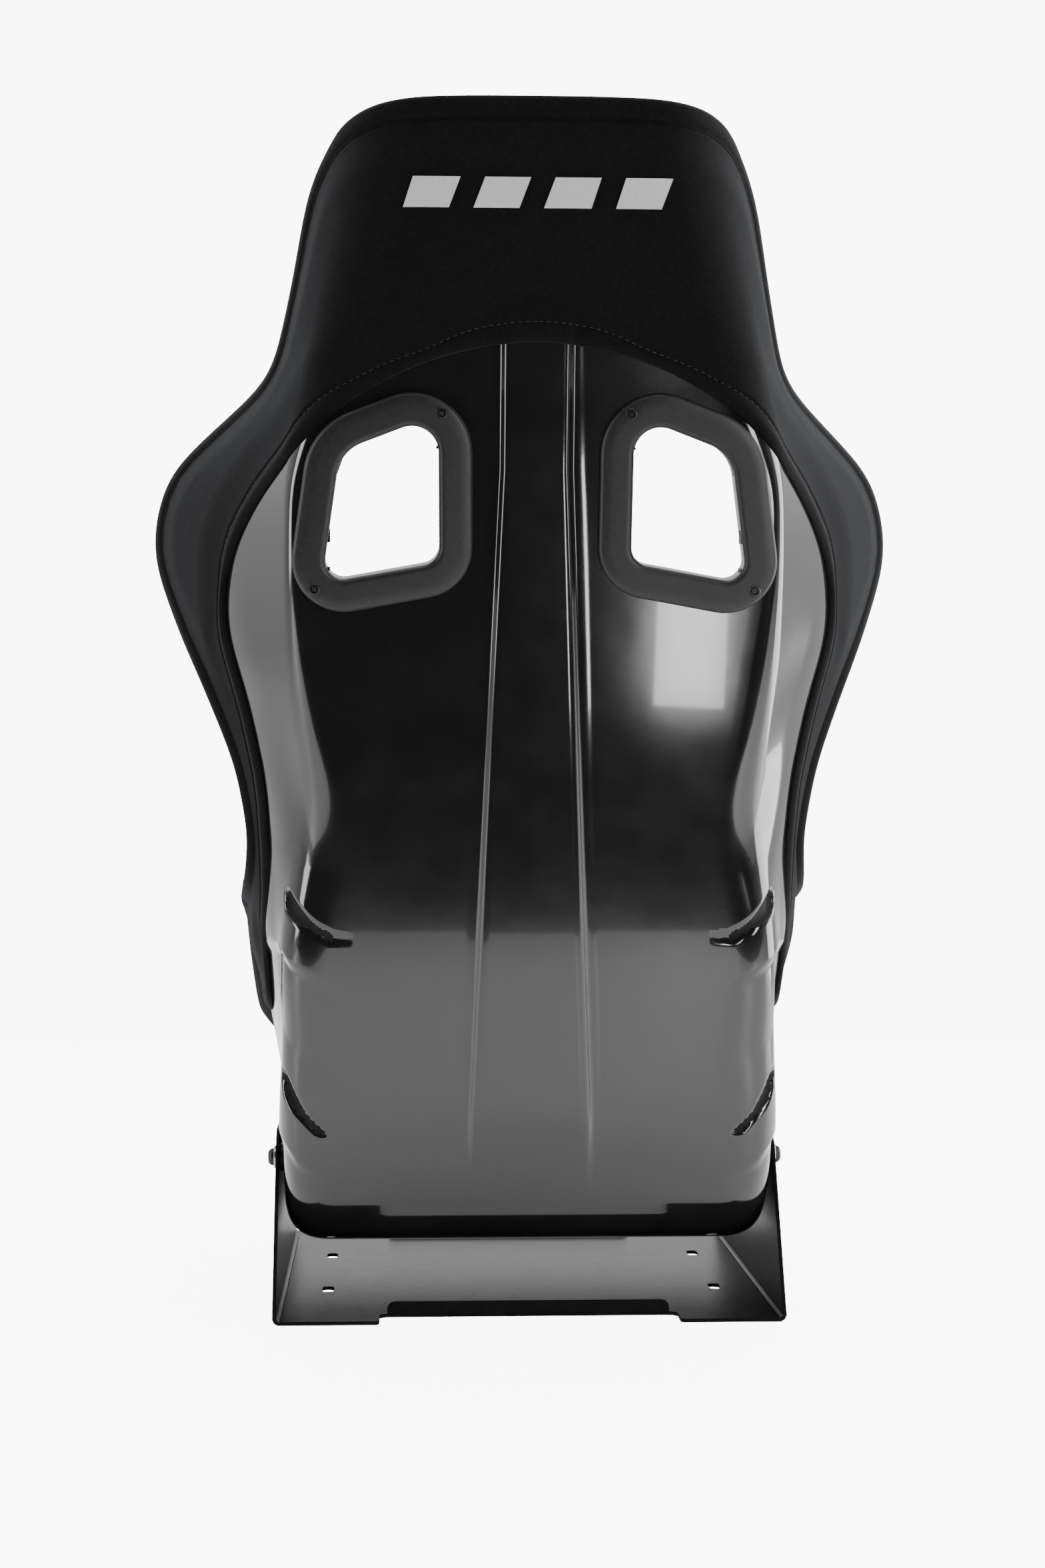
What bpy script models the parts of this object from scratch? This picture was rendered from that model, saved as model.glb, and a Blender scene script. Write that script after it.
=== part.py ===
"""Fixed-back racing seat on a folded steel base bracket.

Metres, +Z up, +Y is the way the occupant faces, x = 0 is the plane of symmetry.
The shell is lofted through sections that run from the head, down the back, round the
bend and along the pan. Everything that lies on the shell is built on the same grid.
"""

import math

import bmesh
import bpy
import numpy as np
from mathutils import Matrix, Vector

# ---- driving sizes ---------------------------------------------------------------------
GAP = 0.0003

BACK_TOP = 0.924
PAN_HEIGHT = 0.050
BACK_LEAN = 0.128
PAN_LENGTH = 0.515

HEAD_HALF = 0.166
SHOULDER_HALF = 0.2975
WAIST_HALF = 0.2165
THIGH_HALF = 0.2300
HIP_HALF = 0.193
PANEL_HALF = 0.188
WING_DEPTH = 0.220
PANEL_SHARE = 0.664
PANEL_LEAN = 0.622
PANEL_SLOPE = 1.365

SHELL_SHEET = 0.004
SPINE_RAISE = 0.005
SPINE_TOP_HALF = 0.0285
SPINE_BASE_HALF = 0.050
SPINE_STEP = 0.0065

COVER_THICK = 0.003
LINER_THICK = 0.009
ROLL_OUT = 0.011
ROLL_LAP = 0.010
ROLL_DEPTH = 0.026
CORNER_LIFT = 0.0015
ROLL_CLEAR = 0.0006
HEM_LOW = 0.236

OPENING_ROOM = 0.0025
SURROUND_WIDTH = 0.025
SURROUND_RISE = 0.0075
SURROUND_FRONT = 0.016

BASE_LENGTH = 0.460
BASE_SHEET = 0.003
BASE_BEND = 0.006
FLANGE_TOP = 0.143
FLANGE_SLOPE = 0.080
FOOT_WIDTH = 0.083
FOOT_REACH = 0.032
LIP_HEIGHT = 0.0125

SPACER_THICK = 0.0034
BOLT_SIZE = 0.008
BOLT_INSET = 0.085
BOLT_HEIGHT = 0.120

HEAD_ROUND = 0.080
LIP_ROUND = 0.050
CORNER_POWER = 3.2
CORNER_SHARE = 0.90
SECTION_COUNT = 281
ARC_COUNT = 201
ARC_REACH = 0.48


def mix(low, high, share):
    return low + (high - low) * share


def rise(share):
    """Height at a share of the back's rise above the pan."""
    return mix(PAN_HEIGHT, BACK_TOP, share)


def lean(share):
    return -BACK_LEAN * share


def panel_lean(share):
    """The back panel is flat between these stations, so the lean follows the rise in a straight line."""
    return lean(PANEL_LEAN + PANEL_SLOPE * (share - PANEL_SHARE))


def along(share):
    return PAN_LENGTH * share


def stations():
    """Centre y and z, rim y and z, then corner x, knee x, knee share, rim x and the two rounding lengths."""
    wing = WING_DEPTH
    upper = PANEL_HALF
    return (
        (lean(1.00), rise(1.000), lean(1.00) + wing * 0.38, rise(1.001), upper * 0.58, HEAD_HALF * 0.84, 0.50, HEAD_HALF * 0.93, 0.040, 0.020),
        (lean(0.95), rise(0.915), lean(0.95) + wing * 0.41, rise(0.922), upper * 0.64, HEAD_HALF * 0.90, 0.50, HEAD_HALF * 1.01, 0.040, 0.020),
        (lean(0.87), rise(0.835), lean(0.87) + wing * 0.47, rise(0.846), upper * 0.75, HEAD_HALF * 1.00, 0.50, HEAD_HALF * 1.095, 0.035, 0.020),
        (panel_lean(0.765), rise(0.765), panel_lean(0.765) + wing * 0.60, rise(0.783), upper * 0.86, HEAD_HALF * 1.09, 0.50, mix(HEAD_HALF, SHOULDER_HALF, 0.26), 0.030, 0.020),
        (panel_lean(0.720), rise(0.720), panel_lean(0.720) + wing * 0.83, rise(0.748), upper * 0.93, HEAD_HALF * 1.24, 0.48, mix(HEAD_HALF, SHOULDER_HALF, 0.58), 0.022, 0.025),
        (panel_lean(0.664), rise(0.664), panel_lean(0.664) + wing * 1.00, rise(0.703), upper * 0.98, HEAD_HALF * 1.39, 0.44, mix(HEAD_HALF, SHOULDER_HALF, 0.92), 0.010, 0.030),
        (panel_lean(0.608), rise(0.608), panel_lean(0.608) + wing * 1.00, rise(0.650), upper * 0.98, HEAD_HALF * 1.44, 0.42, SHOULDER_HALF, 0.010, 0.030),
        (panel_lean(0.538), rise(0.538), panel_lean(0.538) + wing * 0.82, rise(0.582), upper * 0.96, mix(HIP_HALF, SHOULDER_HALF, 0.38), 0.42, mix(WAIST_HALF, SHOULDER_HALF, 0.78), 0.014, 0.030),
        (panel_lean(0.463), rise(0.463), panel_lean(0.463) + wing * 0.58, rise(0.508), upper * 0.92, mix(HIP_HALF, SHOULDER_HALF, 0.18), 0.42, mix(WAIST_HALF, SHOULDER_HALF, 0.42), 0.016, 0.025),
        (lean(0.250), rise(0.389), lean(0.250) + wing * 0.42, rise(0.432), upper * 0.87, mix(HIP_HALF, SHOULDER_HALF, 0.05), 0.42, mix(WAIST_HALF, SHOULDER_HALF, 0.10), 0.020, 0.020),
        (lean(0.150), rise(0.300), lean(0.150) + wing * 0.38, rise(0.372), HIP_HALF * 0.93, HIP_HALF, 0.42, WAIST_HALF, 0.034, 0.020),
        (lean(0.060), rise(0.206), along(0.165), rise(0.340), HIP_HALF, HIP_HALF, 0.42, mix(WAIST_HALF, THIGH_HALF, 0.20), 0.050, 0.020),
        (along(0.006), rise(0.115), along(0.240), rise(0.329), HIP_HALF, HIP_HALF, 0.42, mix(WAIST_HALF, THIGH_HALF, 0.45), 0.050, 0.020),
        (along(0.045), rise(0.045), along(0.310), rise(0.325), HIP_HALF, HIP_HALF, 0.42, mix(WAIST_HALF, THIGH_HALF, 0.65), 0.045, 0.020),
        (along(0.125), rise(0.007), along(0.375), rise(0.320), HIP_HALF, HIP_HALF, 0.40, mix(WAIST_HALF, THIGH_HALF, 0.80), 0.038, 0.020),
        (along(0.270), rise(0.000), along(0.460), rise(0.312), HIP_HALF, HIP_HALF, 0.38, mix(WAIST_HALF, THIGH_HALF, 0.92), 0.034, 0.020),
        (along(0.450), rise(0.001), along(0.570), rise(0.294), HIP_HALF, HIP_HALF, 0.38, THIGH_HALF, 0.034, 0.020),
        (along(0.630), rise(0.008), along(0.690), rise(0.264), HIP_HALF, HIP_HALF, 0.50, THIGH_HALF, 0.034, 0.020),
        (along(0.790), rise(0.030), along(0.815), rise(0.222), HIP_HALF, HIP_HALF, 0.60, mix(HIP_HALF, THIGH_HALF, 0.95), 0.034, 0.020),
        (along(0.920), rise(0.072), along(0.925), rise(0.182), HIP_HALF, HIP_HALF, 0.60, mix(HIP_HALF, THIGH_HALF, 0.85), 0.034, 0.020),
        (along(1.000), rise(0.115), along(0.995), rise(0.162), HIP_HALF * 0.99, HIP_HALF * 1.03, 0.50, mix(HIP_HALF, THIGH_HALF, 0.60), 0.020, 0.008),
    )


def monotone(knots, values, at):
    """Values between the knots, without overshoot."""
    step = np.diff(knots)
    slope = np.diff(values) / step
    tangent = np.zeros(len(knots))
    tangent[0] = slope[0]
    tangent[-1] = slope[-1]
    for k in range(1, len(knots) - 1):
        if slope[k - 1] * slope[k] > 0:
            before = 2 * step[k] + step[k - 1]
            after = step[k] + 2 * step[k - 1]
            tangent[k] = (before + after) / (before / slope[k - 1] + after / slope[k])
    k = np.clip(np.searchsorted(knots, at, side="right") - 1, 0, len(step) - 1)
    t = (at - knots[k]) / step[k]
    rest = 1 - t
    start = values[k] * (1 + 2 * t) * rest**2 + tangent[k] * step[k] * t * rest**2
    return start + values[k + 1] * t**2 * (3 - 2 * t) - tangent[k + 1] * step[k] * t**2 * rest


def smoothed(values, width):
    """A running average with straight continuation past both ends."""
    reach = 3 * width
    offset = np.arange(-reach, reach + 1)
    weight = np.exp(-0.5 * (offset / width) ** 2)
    before = values[0] + (values[1] - values[0]) * np.arange(-reach, 0)
    after = values[-1] + (values[-1] - values[-2]) * np.arange(1, reach + 1)
    return np.convolve(np.concatenate([before, values, after]), weight / weight.sum(), "valid")


def bend(start, middle, end, count=9):
    t = np.linspace(0, 1, count)[:, None]
    return start * (1 - t) ** 2 + 2 * middle * t * (1 - t) + end * t**2


def section_line(corner, knee, knee_depth, rim, depth, corner_round, knee_round):
    """Half a section as points (x, depth), from the centre to past the rim."""
    first = np.array([corner, 0.0])
    second = np.array([knee, knee_depth])
    last = np.array([rim, depth])
    up = (second - first) / np.linalg.norm(second - first)
    out = (last - second) / np.linalg.norm(last - second)
    side = np.array([1.0, 0.0])
    room = 0.96 * np.linalg.norm(second - first) / (corner_round + knee_round)
    corner_round *= min(1.0, room)
    knee_round *= min(1.0, room)
    low = bend(first - side * corner_round, first, first + up * corner_round)
    high = bend(second - up * knee_round, second, second + out * knee_round)
    tail = last + out * ARC_REACH
    return np.vstack([[0.0, 0.0], low, high, last, tail])


def walk(line, distance):
    length = np.concatenate([[0], np.cumsum(np.linalg.norm(np.diff(line, axis=0), axis=1))])
    return np.stack([np.interp(distance, length, line[:, k]) for k in range(line.shape[1])], axis=-1)


class Form:
    """The outer face of the shell as points by (distance down the centre, distance across)."""

    def __init__(self):
        station = np.array(stations())
        knots = np.concatenate([[0], np.cumsum(np.linalg.norm(np.diff(station[:, :2], axis=0), axis=1))])
        self.length = float(knots[-1])
        self.down = np.linspace(0, self.length, SECTION_COUNT)
        self.across = np.linspace(0, ARC_REACH, ARC_COUNT)
        value = [smoothed(monotone(knots, station[:, k], self.down), 3) for k in range(station.shape[1])]
        cy, cz, ry, rz, corner, knee, share, rim, round_one, round_two = value
        self.centre = np.stack([cy, cz], axis=-1)
        depth = np.hypot(ry - cy, rz - cz)
        wall = np.stack([(ry - cy) / depth, (rz - cz) / depth], axis=-1)
        self.rim = np.zeros(SECTION_COUNT)
        self.flat = corner - round_one
        self.marks = np.zeros((SECTION_COUNT, 4))
        point = np.zeros((SECTION_COUNT, ARC_COUNT, 3))
        for i in range(SECTION_COUNT):
            line = section_line(corner[i], knee[i], share[i] * depth[i], rim[i], depth[i], round_one[i], round_two[i])
            run = np.concatenate([[0], np.cumsum(np.linalg.norm(np.diff(line, axis=0), axis=1))])
            self.rim[i] = run[-2]
            self.marks[i] = run[1], run[9], run[10], run[18]
            flat = walk(line, self.across)
            point[i, :, 0] = flat[:, 0]
            point[i, :, 1:] = self.centre[i] + flat[:, 1:] * wall[i]
        self.point = point
        down = np.gradient(point, axis=0)
        across = np.gradient(point, axis=1)
        across[:, 0, 1:] = 0
        normal = np.cross(down, across)
        self.normal = normal / np.linalg.norm(normal, axis=2, keepdims=True)

    def read(self, table, down, across):
        i = np.clip(down / self.length, 0, 1) * (SECTION_COUNT - 1)
        j = np.clip(across / ARC_REACH, 0, 1) * (ARC_COUNT - 1)
        i0 = np.minimum(i.astype(int), SECTION_COUNT - 2)
        j0 = np.minimum(j.astype(int), ARC_COUNT - 2)
        u = (i - i0)[..., None]
        v = (j - j0)[..., None]
        low = table[i0, j0] * (1 - v) + table[i0, j0 + 1] * v
        high = table[i0 + 1, j0] * (1 - v) + table[i0 + 1, j0 + 1] * v
        return low * (1 - u) + high * u

    def at(self, down, across, offset=0.0):
        """Points at signed distances across, lifted outwards by offset."""
        down = np.asarray(down, float)
        across = np.asarray(across, float)
        point = self.read(self.point, down, np.abs(across))
        normal = self.read(self.normal, down, np.abs(across))
        normal /= np.linalg.norm(normal, axis=-1, keepdims=True)
        point = point + normal * np.asarray(offset)[..., None]
        point[..., 0] *= np.where(across < 0, -1, 1)
        return point

    def down_at(self, share):
        """Distance down the centre where the back reaches this share of its rise."""
        lowest = int(np.argmin(self.centre[:, 1]))
        return float(np.interp(-rise(share), -self.centre[:lowest, 1], self.down[:lowest]))

    def along_at(self, share):
        """Distance down the centre where the pan reaches this share of its length."""
        return float(np.interp(along(share), self.centre[:, 0], self.down))


def spine_half(height):
    low = rise(0.12)
    high = rise(0.69)
    return SPINE_BASE_HALF + (SPINE_TOP_HALF - SPINE_BASE_HALF) * np.clip((height - low) / (high - low), 0, 1)


def ease(value, low, high):
    t = np.clip((value - low) / (high - low), 0, 1)
    return t * t * (3 - 2 * t)


def corner_drop(share, half, depth):
    """How far the rounded top edge has fallen at this share of the half-width."""
    return depth * (1 - (1 - np.clip(share, 0, 1) ** CORNER_POWER) ** (1 / CORNER_POWER)) * (half > 0)


def corner_width(drop, depth):
    """Share of the half-width that is left at this distance below the rounded edge."""
    return (1 - np.clip(1 - drop / depth, 0, 1) ** CORNER_POWER) ** (1 / CORNER_POWER)


FORM = Form()
ROW_SHARES = (0.97, 0.92, 0.87, 0.82, 0.775, 0.74, 0.70, 0.655, 0.61, 0.56, 0.50, 0.44, 0.37, 0.30, 0.22, 0.15, 0.090, 0.045)
PAN_SHARES = (0.10, 0.18, 0.30, 0.44, 0.58, 0.70, 0.80, 0.90)
COLUMNS = 11


def row_distances():
    back = [FORM.down_at(share) for share in ROW_SHARES]
    pan = [FORM.along_at(share) for share in PAN_SHARES]
    return np.array([0.0, *back, *pan, FORM.length])


def build_grid():
    """Rows from the head to the front lip, columns from the left rim to the right rim."""
    centre = row_distances()
    top_drop = HEAD_ROUND * (1 - corner_shape(CORNER_SHARE))
    lip_drop = LIP_ROUND * (1 - corner_shape(CORNER_SHARE))
    down = np.zeros((len(centre), 2 * COLUMNS + 1))
    across = np.zeros_like(down)
    for row, start in enumerate(centre):
        fall = top_drop * (1 - ease(start, 0.0, 0.16)) - lip_drop * ease(start, FORM.length - 0.12, FORM.length)
        side = start + fall
        rim = float(np.interp(side, FORM.down, FORM.rim))
        width = corner_width(side, HEAD_ROUND) if side < HEAD_ROUND else 1.0
        rest = FORM.length - side
        width = corner_width(rest, LIP_ROUND) if rest < LIP_ROUND else width
        marks = [float(np.interp(start, FORM.down, FORM.marks[:, k])) for k in range(4)]
        height = float(np.interp(start, FORM.down, FORM.centre[:, 1]))
        ridge = float(spine_half(height))
        panel = [0.0, ridge - SPINE_STEP, ridge, mix(ridge, marks[0], 0.5)]
        flank = [marks[0], mix(marks[0], marks[1], 0.5), marks[1], mix(marks[1], marks[2], 0.5)]
        wing = [mix(marks[2], marks[3], 0.5), mix(marks[3], rim, 0.5), mix(marks[3], rim, 0.85), rim]
        knots = np.array(panel + flank + wing)
        knots = np.maximum.accumulate(knots) * width
        for column, distance in enumerate(knots):
            share = CORNER_SHARE * distance / (rim * width)
            shape = (1 - corner_shape(share)) / (1 - corner_shape(CORNER_SHARE))
            for sign in (-1, 1):
                down[row, COLUMNS + sign * column] = start + fall * shape
                across[row, COLUMNS + sign * column] = sign * distance
    return down, across


def corner_shape(share):
    return (1 - share**CORNER_POWER) ** (1 / CORNER_POWER)


GRID_DOWN, GRID_ACROSS = build_grid()


def relief(down, across):
    """Height of the raised spine above the back."""
    height = np.interp(down, FORM.down, FORM.centre[:, 1])
    inside = 1 - ease(np.abs(across), spine_half(height) - SPINE_STEP, spine_half(height))
    on_back = down < FORM.down_at(0.035)
    fade = ease(height, rise(0.04), rise(0.14)) * (1 - ease(height, rise(0.805), rise(0.835))) * on_back
    return SPINE_RAISE * inside * fade


def layer(offset, rows=slice(None), columns=slice(None), extra=0.0):
    down = GRID_DOWN[rows, columns]
    across = GRID_ACROSS[rows, columns]
    return FORM.at(down, across, offset + relief(down, across) + extra)


# ---- objects ---------------------------------------------------------------------------
for existing in list(bpy.data.objects):
    bpy.data.objects.remove(existing, do_unlink=True)

SEAT = bpy.data.collections.new("racing_seat")
bpy.context.scene.collection.children.link(SEAT)
TOOLS = bpy.data.collections.new("cutters")
bpy.context.scene.collection.children.link(TOOLS)
TOOLS.hide_render = True


def material(name, colour, roughness, metallic=0.0):
    made = bpy.data.materials.new(name)
    made.use_nodes = True
    shader = made.node_tree.nodes["Principled BSDF"]
    shader.inputs["Base Color"].default_value = (*colour, 1.0)
    shader.inputs["Roughness"].default_value = roughness
    shader.inputs["Metallic"].default_value = metallic
    return made


GLOSS = material("gloss_shell", (0.012, 0.012, 0.013), 0.08)
VELOUR = material("black_velour", (0.020, 0.020, 0.021), 0.95)
PAD_VELOUR = material("pad_velour", (0.026, 0.026, 0.028), 0.95)
MOULDING = material("matt_moulding", (0.030, 0.030, 0.031), 0.55)
POWDER = material("powder_coat", (0.015, 0.015, 0.016), 0.25)
BOLT_BLACK = material("black_oxide", (0.030, 0.030, 0.032), 0.40, 0.8)
ZINC = material("zinc", (0.60, 0.60, 0.62), 0.35, 1.0)


def new_object(name, mesh, colour, collection=SEAT, smooth=False):
    made = bpy.data.objects.new(name, mesh)
    if colour is not None:
        mesh.materials.append(colour)
    for face in mesh.polygons:
        face.use_smooth = smooth
    collection.objects.link(made)
    return made


def closed_mesh(name, points, faces):
    mesh = bpy.data.meshes.new(name)
    mesh.from_pydata([tuple(p) for p in points], [], faces)
    shape = bmesh.new()
    shape.from_mesh(mesh)
    bmesh.ops.recalc_face_normals(shape, faces=shape.faces)
    if shape.calc_volume(signed=True) < 0:
        bmesh.ops.reverse_faces(shape, faces=shape.faces)
    shape.to_mesh(mesh)
    shape.free()
    return mesh


def edge_loop(rows, columns):
    """Grid places round the boundary, in order."""
    top = [(0, c) for c in range(columns)]
    right = [(r, columns - 1) for r in range(1, rows)]
    low = [(rows - 1, c) for c in range(columns - 2, -1, -1)]
    left = [(r, 0) for r in range(rows - 2, 0, -1)]
    return top + right + low + left


def blanket(name, inner, outer, rings=(), middle=COLUMNS):
    """A closed body between two grids of the same size, with rings of points round the edge from outer to inner."""
    rows, columns = inner.shape[:2]
    loop = edge_loop(rows, columns)
    points = list(outer.reshape(-1, 3)) + list(inner.reshape(-1, 3))
    count = rows * columns
    faces = []
    for r in range(rows - 1):
        for c in range(columns - 1):
            a = r * columns + c
            b, d, e = a + 1, a + columns, a + columns + 1
            split = ((a, b, e), (a, e, d)) if c < middle else ((a, b, d), (b, e, d))
            faces += split
            faces += [tuple(count + k for k in reversed(face)) for face in split]
    bands = [[r * columns + c for r, c in loop]]
    for ring in rings:
        bands.append(list(range(len(points), len(points) + len(loop))))
        points.extend(ring)
    bands.append([count + r * columns + c for r, c in loop])
    edge_faces = []
    for above, below in zip(bands[:-1], bands[1:]):
        for k in range(len(loop)):
            n = (k + 1) % len(loop)
            edge_faces.append((above[k], above[n], below[n], below[k]))
    return closed_mesh(name, points, edge_faces + faces)


def extruded(name, outline, low, high, frame=None):
    """A prism from an outline of (u, v) points, between two distances along the frame's third axis."""
    count = len(outline)
    points = [Vector((u, v, low)) for u, v in outline] + [Vector((u, v, high)) for u, v in outline]
    if frame is not None:
        points = [frame @ p for p in points]
    faces = [tuple(range(count)), tuple(range(2 * count - 1, count - 1, -1))]
    faces += [(k, (k + 1) % count, count + (k + 1) % count, count + k) for k in range(count)]
    return closed_mesh(name, points, faces)


def cutter(name, mesh):
    made = new_object(name, mesh, None, TOOLS)
    made.display_type = "WIRE"
    made.hide_render = True
    return made


def cut(target, tool, solver="EXACT"):
    step = target.modifiers.new("cut_" + tool.name, "BOOLEAN")
    step.operation = "DIFFERENCE"
    step.solver = solver
    step.object = tool
    return step


def join(target, tool):
    step = cut(target, tool)
    step.operation = "UNION"
    return step


def axis_frame(x, y, z, sign=1):
    """Third axis along x, towards +x or -x."""
    turn = Matrix(((0, 0, sign), (1, 0, 0), (0, sign, 0))).to_4x4()
    return Matrix.Translation((x, y, z)) @ turn


def circle(radius, count=14):
    return [(radius * math.cos(2 * math.pi * k / count), radius * math.sin(2 * math.pi * k / count)) for k in range(count)]


def drum(name, radius, low, high, frame, count=14):
    return extruded(name, circle(radius, count), low, high, frame)


# ---- shell -----------------------------------------------------------------------------
shell = new_object("seat_shell", blanket("seat_shell", layer(-SHELL_SHEET), layer(0.0)), GLOSS, smooth=False)

# ---- harness openings ------------------------------------------------------------------
LEAN_ANGLE = math.atan2(panel_lean(0.0) - panel_lean(1.0), rise(1.0) - rise(0.0))
OPENING_Z = rise(PANEL_SHARE)
OPENING_Y = panel_lean(PANEL_SHARE)


def panel_frame(side):
    """Axes in the plane of the back panel: outwards across, up the slope, then out of the back."""
    up = Vector((0, -math.sin(LEAN_ANGLE), math.cos(LEAN_ANGLE)))
    out = Vector((0, -math.cos(LEAN_ANGLE), -math.sin(LEAN_ANGLE)))
    turn = Matrix(((side, 0, 0), (0, up.y, out.y), (0, up.z, out.z))).to_4x4()
    return Matrix.Translation((0, OPENING_Y, OPENING_Z)) @ turn


def rounded(corners, outset, segments=5):
    """A polygon with rounded corners given as (u, v, radius), every side moved out by outset."""
    points = []
    count = len(corners)
    for k in range(count):
        here = Vector(corners[k][:2])
        before = (here - Vector(corners[k - 1][:2])).normalized()
        after = (Vector(corners[(k + 1) % count][:2]) - here).normalized()
        radius = corners[k][2]
        turn = math.atan2(before.x * after.y - before.y * after.x, before.dot(after))
        reach = radius * math.tan(abs(turn) / 2)
        normal = Vector((-before.y, before.x)) * (1 if turn > 0 else -1)
        middle = here - before * reach + normal * radius
        start = math.atan2(-normal.y, -normal.x)
        for step in range(segments + 1):
            angle = start + turn * step / segments
            size = radius + outset
            points.append((middle.x + size * math.cos(angle), middle.y + size * math.sin(angle)))
    return points


OPENING = (
    (0.072, rise(0.611) - OPENING_Z, 0.014),
    (PANEL_HALF - 0.028, rise(0.5925) - OPENING_Z, 0.014),
    (PANEL_HALF - 0.042, rise(0.705) - OPENING_Z, 0.030),
    (0.073, rise(0.737) - OPENING_Z, 0.020),
)
SURROUND_SCREWS = ((0.0705, rise(0.738) - OPENING_Z), (PANEL_HALF - 0.0225, rise(0.5875) - OPENING_Z))
SURROUND_SCREW_SIZE = 0.004


def swept_ring(name, profile, frame):
    """A closed ring: each profile point is (outset from the opening, height), taken round the opening."""
    points = []
    for outset, height in profile:
        points += [frame @ Vector((u, v, height)) for u, v in rounded(OPENING, outset)]
    count = len(points) // len(profile)
    faces = []
    for band in range(len(profile)):
        a = band * count
        b = ((band + 1) % len(profile)) * count
        faces += [(a + k, a + (k + 1) % count, b + (k + 1) % count, b + k) for k in range(count)]
    return closed_mesh(name, points, faces)


REAR_SLEEVE = SHELL_SHEET + 0.005
REAR_PROFILE = (
    (SURROUND_WIDTH, GAP),
    (SURROUND_WIDTH, SURROUND_RISE * 0.45),
    (SURROUND_WIDTH - 0.004, SURROUND_RISE * 0.90),
    (SURROUND_WIDTH - 0.009, SURROUND_RISE),
    (0.005, SURROUND_RISE),
    (0.0, SURROUND_RISE * 0.55),
    (0.0, -REAR_SLEEVE),
    (OPENING_ROOM, -REAR_SLEEVE),
    (OPENING_ROOM, GAP),
)
FRONT_LOW = -SHELL_SHEET - GAP
FRONT_HIGH = -SHELL_SHEET - SURROUND_FRONT
FRONT_WIDTH = SURROUND_WIDTH * 0.58
FRONT_PROFILE = (
    (OPENING_ROOM + GAP, FRONT_LOW),
    (FRONT_WIDTH, FRONT_LOW),
    (FRONT_WIDTH, mix(FRONT_LOW, FRONT_HIGH, 0.6)),
    (FRONT_WIDTH - 0.005, FRONT_HIGH),
    (0.006, FRONT_HIGH),
    (0.0, mix(FRONT_HIGH, -REAR_SLEEVE, 0.5)),
    (0.0, -REAR_SLEEVE - GAP),
    (OPENING_ROOM + GAP, -REAR_SLEEVE - GAP),
)
SIDES = (("left", -1), ("right", 1))
shell_hole = {}
for side_name, side in SIDES:
    frame = panel_frame(side)
    hole = cutter("opening_" + side_name, extruded("opening_" + side_name, rounded(OPENING, OPENING_ROOM + GAP), -0.03, 0.03, frame))
    shell_hole[side] = hole
    cut(shell, hole)
    rear = new_object("harness_surround_rear_" + side_name, swept_ring("surround_rear_" + side_name, REAR_PROFILE, frame), MOULDING)
    front = new_object("harness_surround_front_" + side_name, swept_ring("surround_front_" + side_name, FRONT_PROFILE, frame), MOULDING)
    for place, (u, v) in zip(("upper", "lower"), SURROUND_SCREWS):
        label = place + "_" + side_name
        spot = frame @ Matrix.Translation((u, v, 0))
        half = SURROUND_SCREW_SIZE / 2
        head_low = SURROUND_RISE - 0.0028
        deep = -SHELL_SHEET
        bore = cutter("screw_bore_" + label, drum("screw_bore_" + label, half + GAP, deep - GAP, 0.02, spot, 12))
        seat = cutter("screw_seat_" + label, drum("screw_seat_" + label, half * 2.1 + GAP, head_low - GAP, 0.02, spot, 12))
        for target in (shell, rear):
            cut(target, bore)
        cut(rear, seat)
        outline = [(0, deep), (half, deep), (half, head_low), (half * 2.1, head_low), (half * 2.1, SURROUND_RISE - 0.0006), (half * 1.7, SURROUND_RISE - 0.0001), (half * 0.9, SURROUND_RISE - 0.0001), (half * 0.9, head_low + 0.0010), (0, head_low + 0.0010)]
        points = []
        faces = []
        turns = 12
        for radius, height in outline[1:-1]:
            points += [spot @ Vector((radius * math.cos(2 * math.pi * k / turns), radius * math.sin(2 * math.pi * k / turns), height)) for k in range(turns)]
        rings = len(outline) - 2
        for r in range(rings - 1):
            faces += [(r * turns + k, r * turns + (k + 1) % turns, (r + 1) * turns + (k + 1) % turns, (r + 1) * turns + k) for k in range(turns)]
        faces.append(tuple(range(turns)))
        faces.append(tuple(range((rings - 1) * turns, rings * turns)))
        new_object("surround_screw_" + label, closed_mesh("surround_screw_" + label, points, faces), BOLT_BLACK)

# ---- rear velour cover -----------------------------------------------------------------
COVER_ROWS = slice(0, 26)


def lapped(inset, offset):
    """The shell grid with its outermost columns, first and last rows drawn in."""
    down = GRID_DOWN.copy()
    across = GRID_ACROSS.copy()
    across[:, 0] += inset
    across[:, -1] -= inset
    down[0, :] += inset
    down[-1, :] -= inset
    lift = np.full(down.shape, float(offset))
    lift[0, :] += CORNER_LIFT
    return FORM.at(down, across, lift + relief(down, across))


cover_low = lapped(ROLL_LAP + GAP, GAP)[COVER_ROWS]
cover_high = lapped(ROLL_LAP + GAP, GAP + COVER_THICK)[COVER_ROWS]
rear_cover = new_object("rear_cover", blanket("rear_cover", cover_low, cover_high), VELOUR)
HEM = (
    (0.000, rise(0.7963)),
    (0.080, rise(0.783)),
    (0.149, rise(0.7395)),
    (0.187, rise(0.6985)),
    (0.217, rise(0.659)),
    (0.234, rise(0.6165)),
    (0.2385, rise(0.580)),
    (0.236, rise(0.5535)),
    (0.222, rise(0.5035)),
    (0.2135, rise(0.466)),
    (0.206, rise(0.420)),
    (0.2025, rise(0.360)),
    (0.202, HEM_LOW),
)
hem_half = [(x, z) for x, z in HEM]
hem_outline = [(-x, z) for x, z in reversed(hem_half[1:])] + hem_half + [(0.5, HEM_LOW), (0.5, -0.1), (-0.5, -0.1), (-0.5, HEM_LOW)]
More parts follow.
